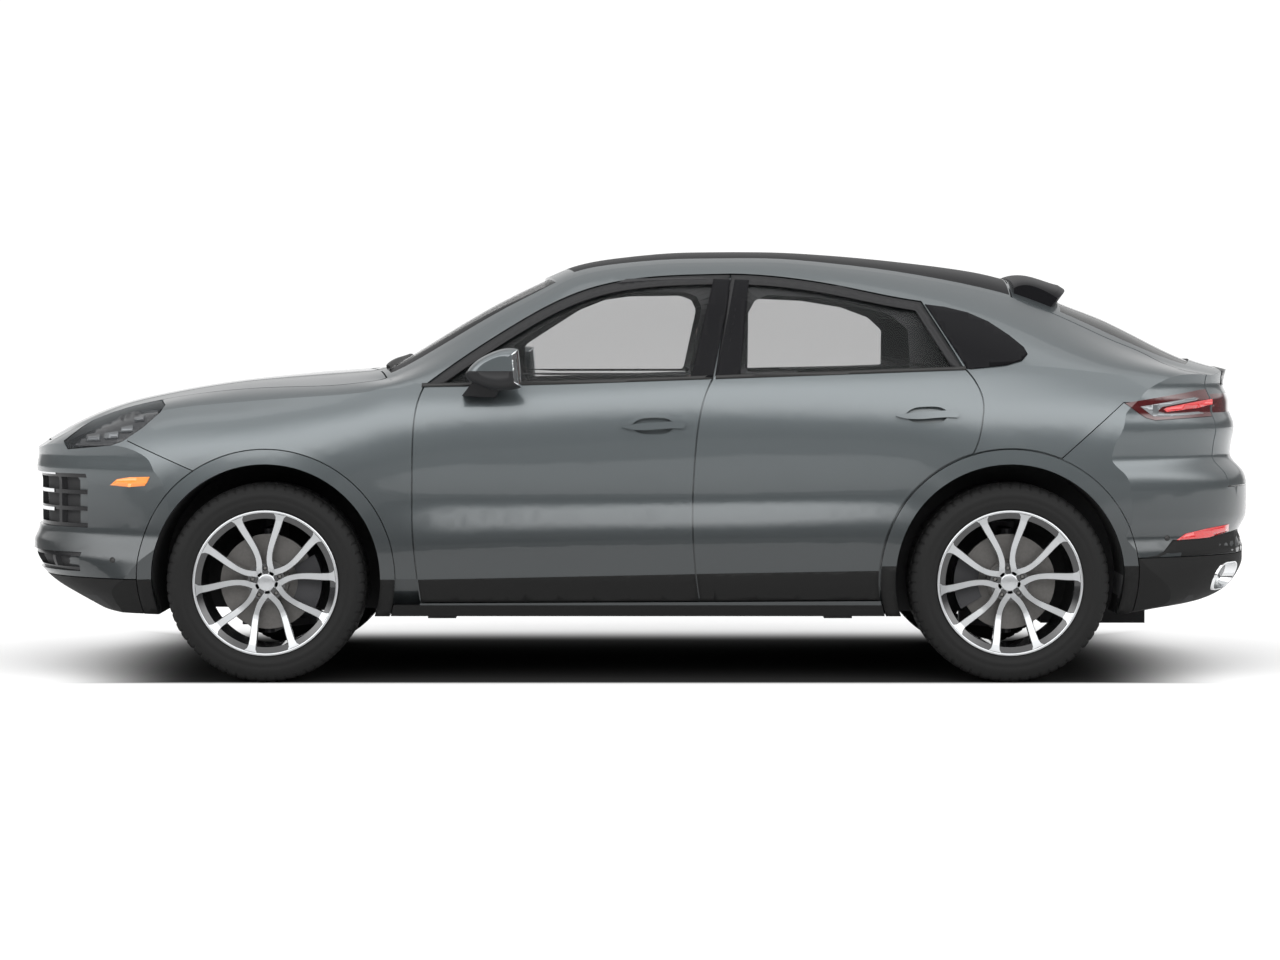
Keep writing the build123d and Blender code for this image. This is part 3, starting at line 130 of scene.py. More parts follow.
CHROME = grain(material("chrome", (0.75, 0.76, 0.77), 0.10, 1.0), 0.2, 0.0001)
STEEL = mottled(material("disc_steel", (0.13, 0.125, 0.12), 0.45, 0.7), 0.01,
                (0.11, 0.105, 0.10), (0.15, 0.145, 0.14))
CASTING = grain(material("casting", (0.035, 0.035, 0.038), 0.6, 0.3), 0.004, 0.0006)
DARK = grain(material("underbody", (0.010, 0.010, 0.011), 0.8), 0.01, 0.0006)
LEATHER = grain(mottled(material("leather", (0.20, 0.035, 0.025), 0.48), 0.03,
                        (0.17, 0.028, 0.020), (0.23, 0.042, 0.030)), 0.003, 0.0004)
DASH = grain(material("soft_touch", (0.016, 0.016, 0.018), 0.7), 0.003, 0.00008)
TRIM = material("window_trim", (0.030, 0.030, 0.032), 0.75)
LINING = grain(material("lining", (0.10, 0.10, 0.105), 0.8), 0.004, 0.0004)
SCREEN = material("screen", (0.004, 0.004, 0.005), 0.08, 0.0, 1.0)
AMBER = grain(material("amber", (0.85, 0.24, 0.02), 0.18, 0.0, 1.0), 0.004, 0.0003)
RED = grain(material("red_lens", (0.50, 0.012, 0.014), 0.12, 0.0, 1.0), 0.006, 0.0003)
RED_DARK = material("red_dark", (0.055, 0.004, 0.005), 0.08, 0.0, 1.0)
LAMP_WHITE = material("lamp_white", (0.20, 0.21, 0.22), 0.18, 0.6, 0.5)
LAMP_DARK = material("lamp_dark", (0.012, 0.012, 0.014), 0.25, 0.0, 0.5)
MIRROR = material("mirror_glass", (0.80, 0.82, 0.84), 0.02, 1.0)


def glass(name, colour, alpha):
    """See-through glass: a share of the light passes straight, the rest is gloss."""
    return material(name, colour, 0.03, 0.0, 0.0, Alpha=alpha, Specular_IOR_Level=0.35)


WINDOW = glass("window_glass", (0.012, 0.014, 0.014), 0.21)
SCREEN_GLASS = glass("screen_glass", (0.010, 0.011, 0.011), 0.45)
SCREEN_GLASS.node_tree.nodes["Principled BSDF"].inputs["Specular IOR Level"].default_value = 0.06
PRIVACY = glass("rear_glass", (0.006, 0.007, 0.007), 0.80)
LENS = glass("lamp_lens", (0.06, 0.065, 0.07), 0.26)

FINISH = {
    "body_shell": PAINT, "hood": PAINT, "front_fenders": PAINT, "front_bumper": PAINT,
    "rear_bumper": PAINT, "tailgate": PAINT, "wheel_arch_trims": PAINT,
    "roof_panel": ROOF, "roof_spoiler": ROOF, "lower_cladding": PLASTIC,
    "front_grille": GLOSS, "headlamps": LENS, "tail_lamps": RED_DARK,
    "light_bar": RED_DARK, "windscreen": SCREEN_GLASS, "quarter_glass": PRIVACY,
    "rear_glass": PRIVACY, "floor_pan": DARK, "front_suspension": CASTING,
    "rear_suspension": CASTING, "engine_block": CASTING, "exhaust": DARK,
    "dashboard": DASH, "steering_wheel": DASH, "front_seats": LEATHER,
    "rear_seat": LEATHER,
}
for side, _ in SIDES:
    FINISH[f"front_door_{side}"] = FINISH[f"rear_door_{side}"] = PAINT
    FINISH[f"front_door_glass_{side}"] = FINISH[f"rear_door_glass_{side}"] = WINDOW
    FINISH[f"mirror_{side}"] = PAINT
    FINISH[f"front_knuckle_{side}"] = CASTING
    for end in ("front", "rear"):
        FINISH[f"{end}_tyre_{side}"] = RUBBER
        FINISH[f"{end}_rim_{side}"] = RIM_BLACK
        FINISH[f"{end}_brake_disc_{side}"] = STEEL
for name, obj in NODES.items():
    obj.data.materials.clear()
    obj.data.materials.append(FINISH[name])


# ---- surfaces to lay trim on ------------------------------------------------
def tree_of(*names):
    """Search tree over the faces of some CAD nodes."""
    verts, faces = [], []
    for name in names:
        mesh = NODES[name].data
        base = len(verts)
        verts += [v.co.copy() for v in mesh.vertices]
        faces += [[base + i for i in p.vertices] for p in mesh.polygons]
    return BVHTree.FromPolygons(verts, faces)


def drop(tree, point, direction):
    """First hit from a point along a direction: (place, outward normal)."""
    hit, normal, _, _ = tree.ray_cast(Vector(point), Vector(direction))
    if hit is None:
        return None, None
    if normal.dot(Vector(direction)) > 0:
        normal = -normal
    return hit, normal


def finish_mesh(name, verts, faces, mat, body, smooth=True):
    mesh = bpy.data.meshes.new(name)
    mesh.from_pydata([tuple(v) for v in verts], [], faces)
    mesh.update()
    mesh.materials.append(mat)
    if smooth:
        mesh.polygons.foreach_set("use_smooth", [True] * len(mesh.polygons))
    obj = bpy.data.objects.new(name, mesh)
    bpy.context.scene.collection.objects.link(obj)
    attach(obj, body)
    return obj


def patch(name, line, tree, mat, body, side=1, proud=0.0008, thick=0.003, step=0.03):
    """A thin cover laid on one side's skin inside an outline of (x, z)."""
    flat = bmesh.new()
    pts = [Vector((x, 0, z)) for x, z in line]
    flat.faces.new([flat.verts.new(p) for p in pts])
    for direction, spread in ((Vector((1, 0, 0)), [p.x for p in pts]),
                              (Vector((0, 0, 1)), [p.z for p in pts])):
        at = math.floor(min(spread) / step + 1) * step
        while at < max(spread):
            geom = flat.verts[:] + flat.edges[:] + flat.faces[:]
            bmesh.ops.bisect_plane(flat, geom=geom, plane_co=direction * at,
                                   plane_no=direction)
            at += step
    bmesh.ops.triangulate(flat, faces=[f for f in flat.faces if len(f.verts) > 4])
    down = Vector((0, -side, 0))
    flat.verts.index_update()
    found = [drop(tree, v.co - down * 3, down) for v in flat.verts]
    good = [(v.co, hit, normal) for v, (hit, normal) in zip(flat.verts, found)
            if hit is not None and hit.dot(down) < -0.3]
    outer, inner = [], []
    for v in flat.verts:
        near, hit, normal = min(good, key=lambda g: (g[0] - v.co).length)
        place = hit + (v.co - near)
        outer.append(place + normal * proud)
        inner.append(place + normal * (proud - thick))
    count = len(outer)
    faces = [[v.index for v in f.verts] for f in flat.faces]
    walls = [[e.verts[0].index, e.verts[1].index, e.verts[1].index + count,
              e.verts[0].index + count] for e in flat.edges if e.is_boundary]
    back = [[i + count for i in f][::-1] for f in faces]
    flat.free()
    made = finish_mesh(name, outer + inner, faces + back + walls, mat, body, smooth=False)
    mesh = bmesh.new()
    mesh.from_mesh(made.data)
    bmesh.ops.recalc_face_normals(mesh, faces=mesh.faces)
    mesh.to_mesh(made.data)
    mesh.free()
    made.data.polygons.foreach_set("use_smooth",
                                   [i < 2 * len(faces) for i in range(len(made.data.polygons))])
    return made


# ---- stage, light and camera ------------------------------------------------
def area_light(name, place, aim, size, power, size_y=None):
    lamp = bpy.data.lights.new(name, "AREA")
    lamp.shape = "RECTANGLE"
    lamp.size, lamp.size_y = size, size_y or size
    lamp.energy = power
    obj = bpy.data.objects.new(name, lamp)
    obj.location = place
    obj.rotation_mode = "QUATERNION"
    obj.rotation_quaternion = (Vector(aim) - Vector(place)).to_track_quat("-Z", "Y")
    bpy.context.scene.collection.objects.link(obj)
    return obj


def ramp(tree, value, low, high, start=0.0, end=1.0):
    """Node that carries value from low..high over to start..end, held at both."""
    node = tree.nodes.new("ShaderNodeMapRange")
    node.interpolation_type = "SMOOTHSTEP"
    for key, number in (("From Min", low), ("From Max", high), ("To Min", start),
                        ("To Max", end)):
        node.inputs[key].default_value = number
    tree.links.new(value, node.inputs["Value"])
    return node.outputs["Result"]


def combine(tree, how, a, b):
    node = tree.nodes.new("ShaderNodeMath")
    node.operation = how
    for socket, value in zip(node.inputs, (a, b)):
        if isinstance(value, float):
            socket.default_value = value
        else:
            tree.links.new(value, socket)
    return node.outputs[0]


def coordinates(tree, output):
    place = tree.nodes.new("ShaderNodeTexCoord")
    split = tree.nodes.new("ShaderNodeSeparateXYZ")
    tree.links.new(place.outputs[output], split.inputs[0])
    return split.outputs


# Painted shade: the paint's base colour is scaled down towards the sills, standing in for the shade that falls
# on the lower sides.
tree = PAINT.node_tree
bsdf = tree.nodes["Principled BSDF"]
flakes = bsdf.inputs["Base Color"].links[0].from_socket
scale = tree.nodes.new("ShaderNodeVectorMath")
scale.operation = "SCALE"
tree.links.new(flakes, scale.inputs[0])
tree.links.new(ramp(tree, coordinates(tree, "Object")["Z"], *PAINTED_SHADE_Z, 1.0), scale.inputs["Scale"])
tree.links.new(scale.outputs[0], bsdf.inputs["Base Color"])

# White ground, darker past the camera's place, with a painted shadow: the floor is drawn dark under the car on
# top of its traced shadow.
FLOOR = 60.0
FLOOR_WHITE, FLOOR_FAR, FLOOR_PAINTED_SHADOW = 0.80, 0.25, 0.03  # the last is the painted shadow's share of the white
floor_mesh = bpy.data.meshes.new("floor")
floor_mesh.from_pydata([(-FLOOR, -FLOOR, 0), (FLOOR, -FLOOR, 0), (FLOOR, FLOOR, 0),
                        (-FLOOR, FLOOR, 0)], [], [(0, 1, 2, 3)])
floor = bpy.data.objects.new("floor", floor_mesh)
floor_mat = material("floor", (0.86, 0.86, 0.86), 0.8)
floor_mat.node_tree.nodes["Principled BSDF"].inputs["Specular IOR Level"].default_value = 0.0
tree = floor_mat.node_tree
spot = coordinates(tree, "Object")
shade = ramp(tree, spot["Y"], 7.6, 9.0, FLOOR_WHITE, FLOOR_FAR)
length = combine(tree, "ABSOLUTE", spot["X"], 0.0)
# Painted shadow: clear is 0 over the car's footprint, sharp at the near tyre faces and fading past the far side
# and the ends; the floor there is drawn at a small share of its white.
clear = combine(tree, "MAXIMUM", ramp(tree, length, 1.65, 2.50),
                combine(tree, "MAXIMUM", ramp(tree, spot["Y"], 0.90, 1.02),
                        ramp(tree, spot["Y"], -0.85, -1.75)))
shade = combine(tree, "MULTIPLY", shade, ramp(tree, clear, 0.0, 1.0, FLOOR_PAINTED_SHADOW, 1.0))
tree.links.new(shade, tree.nodes["Principled BSDF"].inputs["Base Color"])
floor_mesh.materials.append(floor_mat)
bpy.context.scene.collection.objects.link(floor)
floor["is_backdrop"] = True

# Sky: a bright band over a dim horizon, white behind the car as the photograph has it.
DIM, RING, TOP, WHITE = 0.14, 3.6, 1.5, 0.95
world = bpy.data.worlds.new("studio")
world.use_nodes = True
tree = world.node_tree
look = coordinates(tree, "Generated")
ring = ramp(tree, look["Z"], 0.13, 0.36, DIM, RING)
low = ramp(tree, look["Z"], 0.11, 0.17, WHITE, 0.0)
behind = ramp(tree, look["Y"], -0.93, -0.80, 1.0, 0.0)
ring = combine(tree, "SUBTRACT", ring, ramp(tree, look["Z"], 0.50, 0.85, 0.0, RING - TOP))
above = combine(tree, "MINIMUM", ring, ramp(tree, look["Y"], -0.25, 0.35, 0.8, RING))
total = combine(tree, "ADD", above, combine(tree, "MULTIPLY", low, behind))
tree.nodes["Background"].inputs["Color"].default_value = (1, 1, 1, 1)
tree.links.new(total, tree.nodes["Background"].inputs["Strength"])
bpy.context.scene.world = world
area_light("strip", (0, 0.6, 5.2), (0, 0.4, 0), 8.5, 40, 2.4)

camera = bpy.data.cameras.new("camera")
SENSOR, FOCAL_PIXELS, FRAME_PIXELS = 36.0, 3612, 1280
camera.sensor_width = SENSOR
camera.lens = FOCAL_PIXELS / FRAME_PIXELS * SENSOR
camera.clip_end = 200
camera_object = bpy.data.objects.new("camera", camera)
camera_object.location = (0.0, 14.97, 1.35)
camera_object.rotation_euler = (math.radians(90 - 2.288), 0, math.radians(180))
bpy.context.scene.collection.objects.link(camera_object)
bpy.context.scene.camera = camera_object
bpy.context.scene.view_settings.view_transform = "Standard"

# ---- what each face of the shell, doors and lids looks like -----------------
def face_finish(name, inside, well=None):
    """Paint stays on faces that look outwards; the rest is lining or liner."""
    mesh = NODES[name].data
    mesh.materials.append(LINING)
    mesh.materials.append(DARK)
    for p in mesh.polygons:
        c, n = p.center, p.normal
        toward = n.dot(Vector((0, c.y, c.z - 0.9)))
        if inside(c) and toward < 0:
            p.material_index = 1
        elif well and well(c, n):
            p.material_index = 2


def in_cabin(c):
    return -2.26 < c.x < 1.015 and abs(c.y) < 0.842 and 0.32 < c.z


def in_well(c, n):
    for axle in (FRONT_AXLE, REAR_AXLE):
        if math.hypot(c.x - axle, c.z - HUB_Z - 0.017) < 0.450:
            return True
    return c.x > 1.02 and abs(c.y) < 0.72 and n.z < 0.9 and c.z < 1.10


face_finish("body_shell", in_cabin, in_well)
for side, s in SIDES:
    for end in ("front", "rear"):
        face_finish(f"{end}_door_{side}", lambda c: abs(c.y) < 0.84)
face_finish("tailgate", in_cabin)


# ---- tyres ------------------------------------------------------------------
def revolve(name, profile, axle, s, steps, mat, body, shape=None):
    """Mesh of revolution about a wheel's axis from (radius, y from the outer face)."""
    verts, faces = [], []
    count = len(profile)
    for i in range(steps):
        a = 2 * math.pi * i / steps
        for j, (r, y) in enumerate(profile):
            if shape:
                r, y = shape(i, j, r, y)
            verts.append((axle + r * math.cos(a), s * (FACE_Y + y), HUB_Z + r * math.sin(a)))
    for i in range(steps):
        k = (i + 1) % steps
        for j in range(count):
            m = (j + 1) % count
            face = [i * count + j, i * count + m, k * count + m, k * count + j]
            faces.append(face if s < 0 else face[::-1])
    return finish_mesh(name, verts, faces, mat, body)


TREAD_R, GROOVE, GROOVE_W = TYRE_R - 0.0002, 0.0075, 0.009


def tyre_profile(width):
    half = [(0.2622, -0.022), (0.2745, -0.0150), (0.2858, -0.0142), (0.2885, -0.0115),
            (0.2905, -0.0118), (0.3080, -0.0050), (0.3200, -0.0022), (0.3215, -0.0030),
            (0.3330, -0.0010), (0.3460, -0.0006), (0.3475, -0.0014), (0.3560, -0.0040),
            (0.3655, -0.0095), (0.3720, -0.0135), (0.3790, -0.0200), (0.3838, -0.0262),
            (0.3868, -0.0350), (TREAD_R - 0.001, -0.0470)]
    ribs = [(0.23, 0.5), (0.41, 0.5), (0.59, 0.5), (0.77, 0.5)]
    tread = []
    for share, _ in ribs:
        y = -width * share
        tread += [(TREAD_R, y + GROOVE_W / 2 + 0.001), (TREAD_R - GROOVE, y + GROOVE_W / 2),
                  (TREAD_R - GROOVE, y - GROOVE_W / 2), (TREAD_R, y - GROOVE_W / 2 - 0.001)]
    back = [(r, -width - y) for r, y in half[::-1]]
    return half + tread + back


SIPE_EVERY, TYRE_STEPS = 5, 300


def sipe(count):
    """Lateral slots across the shoulder blocks."""
    def shape(i, j, r, y):
        slot = i % SIPE_EVERY == 0
        if slot and (13 <= j <= 19 or count - 20 <= j <= count - 14):
            r -= 0.004
        if i % SIPE_EVERY == 2 and 21 < j < count - 22 and r > TREAD_R - 0.004:
            r -= 0.003
        return r, y
    return shape


for end, axle, width in (("front", FRONT_AXLE, FRONT_W), ("rear", REAR_AXLE, REAR_W)):
    profile = tyre_profile(width)
    for side, s in SIDES:
        body = f"{end}_wheel_{side}"
        tyre = revolve(f"tyre_{end}_{side}", profile, axle, s, TYRE_STEPS, RUBBER, body,
                       sipe(len(profile)))
        tyre.data.polygons.foreach_set("use_smooth", [
            not (11 <= f % len(profile) <= len(profile) - 13)
            for f in range(len(tyre.data.polygons))])
        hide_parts(f"{end}_tyre_{side}")

# ---- wheel faces ------------------------------------------------------------
# Middle of an arm beside its lug's direction: distance along it, distance across it.
ARM = [(0.0552, 0.0234), (0.1152, 0.0255), (0.1642, 0.0440), (0.2435, 0.0791)]
ARM_W = [(0.030, 0.020), (0.050, 0.026), (0.070, 0.024), (0.110, 0.0195), (0.256, 0.0268),
         (0.264, 0.034), (0.275, 0.052)]
LUG_TURN, LUGS = 84.4, 5
HUB_FACE = -0.052
DISH = [(0.058, HUB_FACE), (0.140, -0.046), (0.255, -0.022), (0.275, -0.0085)]


def along(knots, at):
    """Straight-line value between knots, held flat before the first one."""
    for a, b in zip(knots, knots[1:]):
        if at <= b[0]:
            break
    t = max(0.0, (at - a[0]) / (b[0] - a[0]))
    return a[1] + t * (b[1] - a[1])


def smooth_along(knots, at):
    """Polynomial through all the knots."""
    total = 0.0
    for i, (p, value) in enumerate(knots):
        for j, (q, _) in enumerate(knots):
            if i != j:
                value *= (at - q) / (p - q)
        total += value
    return total


def wheel_point(axle, s, r, angle, y):
    return (axle + r * math.cos(angle), s * (FACE_Y + y), HUB_Z + r * math.sin(angle))


def clean_normals(obj):
    mesh = bmesh.new()
    mesh.from_mesh(obj.data)
    bmesh.ops.recalc_face_normals(mesh, faces=mesh.faces)
    mesh.to_mesh(obj.data)
    mesh.free()
    return obj


def spoke_faces(name, axle, s, body):
    """Machined silver faces on the black arms, from the cap to the rim's lip."""
    verts, faces = [], []
    rim = tree_of(f"{body.split('_')[0]}_rim_{body.split('_')[-1]}")
    lift, deep, last = 0.0010, 0.0012, 0.2600
    places = [0.026, 0.040, 0.055, 0.070, 0.085, 0.100, 0.115, 0.130, 0.145, 0.165, 0.190,
              0.215, 0.235, 0.250, last]
    for k in range(LUGS):
        for sign in (-1, 1):
            base = len(verts)
            for u in places:
                v = smooth_along(ARM, u) if u > ARM[0][0] else ARM[0][1]
                r, off = math.hypot(u, v), math.atan2(v, u)
                half = along(ARM_W, r) / 2
                mid = math.radians(LUG_TURN + 360 / LUGS * k) + sign * off
                top = wheel_point(axle, s, r, mid, 0.02)
                hit, _ = drop(rim, top, (0, -s, 0))
                y = along(DISH, r)
                if hit is not None and abs(hit.y) - FACE_Y > -0.060:
                    y = abs(hit.y) - FACE_Y
                for e, dy in ((-1, -deep), (-1, lift), (1, lift), (1, -deep)):
                    verts.append(wheel_point(axle, s, r, mid + e * half / r, y + dy))
            for i in range(len(places) - 1):
                for j in range(4):
                    a, b = base + 4 * i + j, base + 4 * i + (j + 1) % 4
                    faces.append([a, b, b + 4, a + 4])
            end = base + 4 * (len(places) - 1)
            faces += [[base + 3, base + 2, base + 1, base], [end, end + 1, end + 2, end + 3]]
    return clean_normals(finish_mesh(name, verts, faces, SILVER, body, smooth=False))


def disc_solid(name, axle, s, r, angle, y0, y1, radius, mat, body, sides=20, dome=0.0):
    """Short cylinder on a wheel, with a rounded outer edge."""
    cx, cz = axle + r * math.cos(angle), HUB_Z + r * math.sin(angle)
    rings = [(radius, y0), (radius, y1 - 0.15 * (y1 - y0)), (radius * 0.86, y1),
             (radius * 0.5, y1 + dome), (0.0001, y1 + dome * 1.3)]
    verts, faces = [], []
    for rr, y in rings:
        for i in range(sides):
            a = 2 * math.pi * i / sides
            verts.append((cx + rr * math.cos(a), s * (FACE_Y + y), cz + rr * math.sin(a)))
    for j in range(len(rings) - 1):
        for i in range(sides):
            k = (i + 1) % sides
            face = [j * sides + i, j * sides + k, (j + 1) * sides + k, (j + 1) * sides + i]
            faces.append(face if s > 0 else face[::-1])
    return finish_mesh(name, verts, faces, mat, body)


for end, axle, width in (("front", FRONT_AXLE, FRONT_W), ("rear", REAR_AXLE, REAR_W)):
    for side, s in SIDES:
        body = f"{end}_wheel_{side}"
        tag = f"{end}_{side}"
        spoke_faces(f"spoke_faces_{tag}", axle, s, body)
        lip = revolve(f"rim_lip_{tag}", [(0.2735, -0.0095), (0.2740, -0.0072),
                                         (0.2828, -0.0072), (0.2834, -0.0095)],
                      axle, s, 120, SILVER, body)
        disc_solid(f"hub_cap_{tag}", axle, s, 0.0, 0.0, HUB_FACE, HUB_FACE + 0.006, 0.034,
                   SILVER, body, 36, 0.0015)
        for k in range(LUGS):
            angle = math.radians(LUG_TURN + 360 / LUGS * k)
            disc_solid(f"lug_{tag}_{k}", axle, s, 0.056, angle, HUB_FACE - 0.014,
                       HUB_FACE - 0.003, 0.0075, STEEL, body, 6)

QUARTER = [(-1.122, 1.474), (-1.200, 1.464), (-1.290, 1.442), (-1.370, 1.406), (-1.448, 1.352),
           (-1.501, 1.306), (-1.514, 1.279), (-1.490, 1.254), (-1.427, 1.236), (-1.290, 1.221),
           (-1.270, 1.223), (-1.262, 1.240)]

# ---- parts of a panel with a finish of their own ----------------------------
def skin_copy(name, node, wanted, planes, mat, body, proud=0.0006, thick=0.002):
    """Thin cover in the exact shape of a panel's outer faces, trimmed by planes."""
    work = bmesh.new()
    work.from_mesh(NODES[node].data)
    bmesh.ops.delete(work, context="FACES",
                     geom=[f for f in work.faces if not wanted(f.calc_center_median(), f.normal)])
    bmesh.ops.remove_doubles(work, verts=work.verts[:], dist=0.00002)
    for place, normal in planes:
        geom = work.verts[:] + work.edges[:] + work.faces[:]
        bmesh.ops.bisect_plane(work, geom=geom, plane_co=Vector(place),
                               plane_no=Vector(normal), clear_inner=True)
    loose = [v for v in work.verts if not v.link_faces]
    bmesh.ops.delete(work, geom=loose, context="VERTS")
    work.normal_update()
    work.verts.index_update()
    outer = [v.co + v.normal * proud for v in work.verts]
    inner = [v.co + v.normal * (proud - thick) for v in work.verts]
    faces = [[v.index for v in f.verts] for f in work.faces]
    count = len(outer)
    walls = []
    for e in work.edges:
        if e.is_boundary:
            loop = e.link_loops[0]
            i, j = loop.vert.index, loop.link_loop_next.vert.index
            walls.append([j, i, i + count, j + count])
    work.free()
    back = [[i + count for i in f][::-1] for f in faces]
    made = finish_mesh(name, outer + inner, faces + back + walls, mat, body)
    made.data.polygons.foreach_set(
        "use_smooth", [i < 2 * len(faces) for i in range(len(made.data.polygons))])
    return made


def fitted_cover(name, line, tree, mat, body, side, proud, thick, step=0.03):
    """A cover inside an outline on a smooth surface fitted to the skin round it."""
    xs, zs = [x for x, _ in line], [z for _, z in line]
    mid = Vector((sum(xs) / len(xs), 0, sum(zs) / len(zs)))

    def terms(x, z):
        u, v = x - mid.x, z - mid.z
        return [1, u, v, u * u, u * v, v * v, u ** 3, u * u * v, u * v * v, v ** 3]

    samples = []
    for i in range(25):
        for j in range(25):
            x = min(xs) - 0.04 + (max(xs) - min(xs) + 0.08) * i / 24
            z = min(zs) - 0.04 + (max(zs) - min(zs) + 0.08) * j / 24
            hit, normal = drop(tree, (x, side * 2, z), (0, -side, 0))
            if hit is not None and normal.y * side > 0.4 and hit.y * side > 0.5:
                samples.append((x, z, hit.y))
    for _ in range(5):
        rows = np.array([terms(x, z) for x, z, _ in samples])
        values = np.array([y for _, _, y in samples])
        fit = np.linalg.lstsq(rows, values, rcond=None)[0]
        off = (values - rows @ fit) * side
        keep = off > max(-0.0008, off.min() * 0.5)
        if keep.all():
            break
        samples = [s for s, k in zip(samples, keep) if k]
    flat = patch_grid(line, step)
    verts, faces, edges = flat
    outer = [(x, float(np.dot(terms(x, z), fit)) + side * proud, z) for x, z in verts]
    inner = [(x, y - side * thick, z) for x, y, z in outer]
    count = len(outer)
    back = [[i + count for i in f][::-1] for f in faces]
    walls = [[a, b, b + count, a + count] for a, b in edges]
    made = clean_normals(finish_mesh(name, outer + inner, faces + back + walls, mat, body))
    made.data.polygons.foreach_set(
        "use_smooth", [i < 2 * len(faces) for i in range(len(made.data.polygons))])
    return made


def patch_grid(line, step):
    """Flat outline of (x, z), cut into small faces: vertices, faces, boundary edges."""
    flat = bmesh.new()
    flat.faces.new([flat.verts.new((x, 0, z)) for x, z in line])
    for axis in (0, 2):
        direction = Vector((axis == 0, 0, axis == 2))
        spread = [p[axis // 2] for p in line]
        at = math.floor(min(spread) / step + 1) * step
        while at < max(spread):
            geom = flat.verts[:] + flat.edges[:] + flat.faces[:]
            bmesh.ops.bisect_plane(flat, geom=geom, plane_co=direction * at,
                                   plane_no=direction)
            at += step
    bmesh.ops.triangulate(flat, faces=[f for f in flat.faces if len(f.verts) > 4])
    flat.verts.index_update()
    verts = [(v.co.x, v.co.z) for v in flat.verts]
    faces = [[v.index for v in f.verts] for f in flat.faces]
    edges = [[v.index for v in e.verts] for e in flat.edges if e.is_boundary]
    flat.free()
    return verts, faces, edges


def line_plane(a, b, above=True):
    """Plane through two (x, z) points, along Y, that keeps what lies above or below."""
    (x0, z0), (x1, z1) = a, b
    normal = Vector((z1 - z0, 0, x0 - x1)).normalized()
    if (normal.z > 0) != above:
        normal = -normal
    return (x0, 0, z0), normal


# ---- windows: black frames and belt strip; lower cladding -------------------
BELT = [(1.000, 1.160), (0.448, 1.168), (-0.280, 1.193), (-1.266, 1.228)]
SILL_LINE = [(0.989, 0.399), (-0.310, 0.426), (-0.939, 0.437)]
for side, s in SIDES:
    def outward(c, n, s=s):
        return n.y * s > 0.30 and c.y * s > 0.45

    for end, top in (("front", BELT[:3]), ("rear", BELT[2:])):
        door = f"{end}_door_{side}"
        skin_copy(f"window_frame_{end}_{side}", door, outward,
                  [line_plane(a, b) for a, b in zip(top, top[1:])], SATIN, door)
        a, b = SILL_LINE[:2] if end == "front" else SILL_LINE[1:]
        skin_copy(f"door_cladding_{end}_{side}", door, outward,
                  [line_plane(a, b, above=False)], PLASTIC, door, proud=0.0022, thick=0.003)
    fitted_cover(f"quarter_frame_{side}", QUARTER, tree_of("body_shell"), ROOF, "body", s,
                 0.0045, 0.006)
    for end, line in (("front", [(-0.196, 1.186), (-0.284, 1.189), (-0.362, 1.572),
                                 (-0.290, 1.574)]),
                      ("rear", [(-0.296, 1.189), (-0.388, 1.193), (-0.430, 1.570),
                                (-0.374, 1.572)])):
        fitted_cover(f"pillar_cover_{end}_{side}", line,
                     tree_of(f"{end}_door_{side}", f"{end}_door_glass_{side}"), ROOF,
                     f"{end}_door_{side}", s, 0.0020, 0.006)
    for end, x0, x1 in (("front", 0.850, -0.284), ("rear", -0.294, -1.268)):
        tree = tree_of(f"{end}_door_{side}")
        def belt_z(x):
            a, b = next((a, b) for a, b in zip(BELT, BELT[1:]) if x >= b[0] or b == BELT[-1])
            return a[1] + (b[1] - a[1]) * (x - a[0]) / (b[0] - a[0])
        xs = [x0 + (x1 - x0) * k / 4 for k in range(5)]
        strip = [(x, belt_z(x) + 0.002) for x in xs] + [(x, belt_z(x) - 0.012) for x in xs[::-1]]
        patch(f"belt_{end}_{side}", strip, tree, SEAL, f"{end}_door_{side}", side=s,
              proud=0.003, thick=0.005)

# Trim inside each side window, with rounded corners.
INNER = {
    "front": ([(0.360, 1.196), (-0.270, 1.196), (-0.365, 1.540), (-0.250, 1.580),
               (0.050, 1.575), (0.380, 1.450), (0.740, 1.215)],
              [(0.506, 1.205), (-0.189, 1.205), (-0.243, 1.462), (-0.222, 1.505),
               (-0.174, 1.523), (0.044, 1.520), (0.152, 1.505), (0.261, 1.462),
               (0.413, 1.366), (0.500, 1.310)]),
    "rear": ([(-0.300, 1.196), (-1.240, 1.222), (-1.180, 1.380), (-1.120, 1.460),
              (-0.800, 1.545), (-0.370, 1.575), (-0.320, 1.400)],
             [(-0.419, 1.208), (-1.054, 1.222), (-1.050, 1.375), (-0.989, 1.429),
              (-0.869, 1.473), (-0.696, 1.501), (-0.500, 1.510), (-0.452, 1.488),
              (-0.425, 1.440)]),
}


def resampled(line, count):
    """Points evenly spaced round a closed outline."""
    closed = [Vector(p) for p in line] + [Vector(line[0])]
    steps = [(b - a).length for a, b in zip(closed, closed[1:])]
    found, total = [], sum(steps)
    for k in range(count):
        at = total * k / count
        for (a, b), long in zip(zip(closed, closed[1:]), steps):
            if at <= long:
                break
            at -= long
        found.append(a + (b - a) * min(1.0, at / long))
    return found


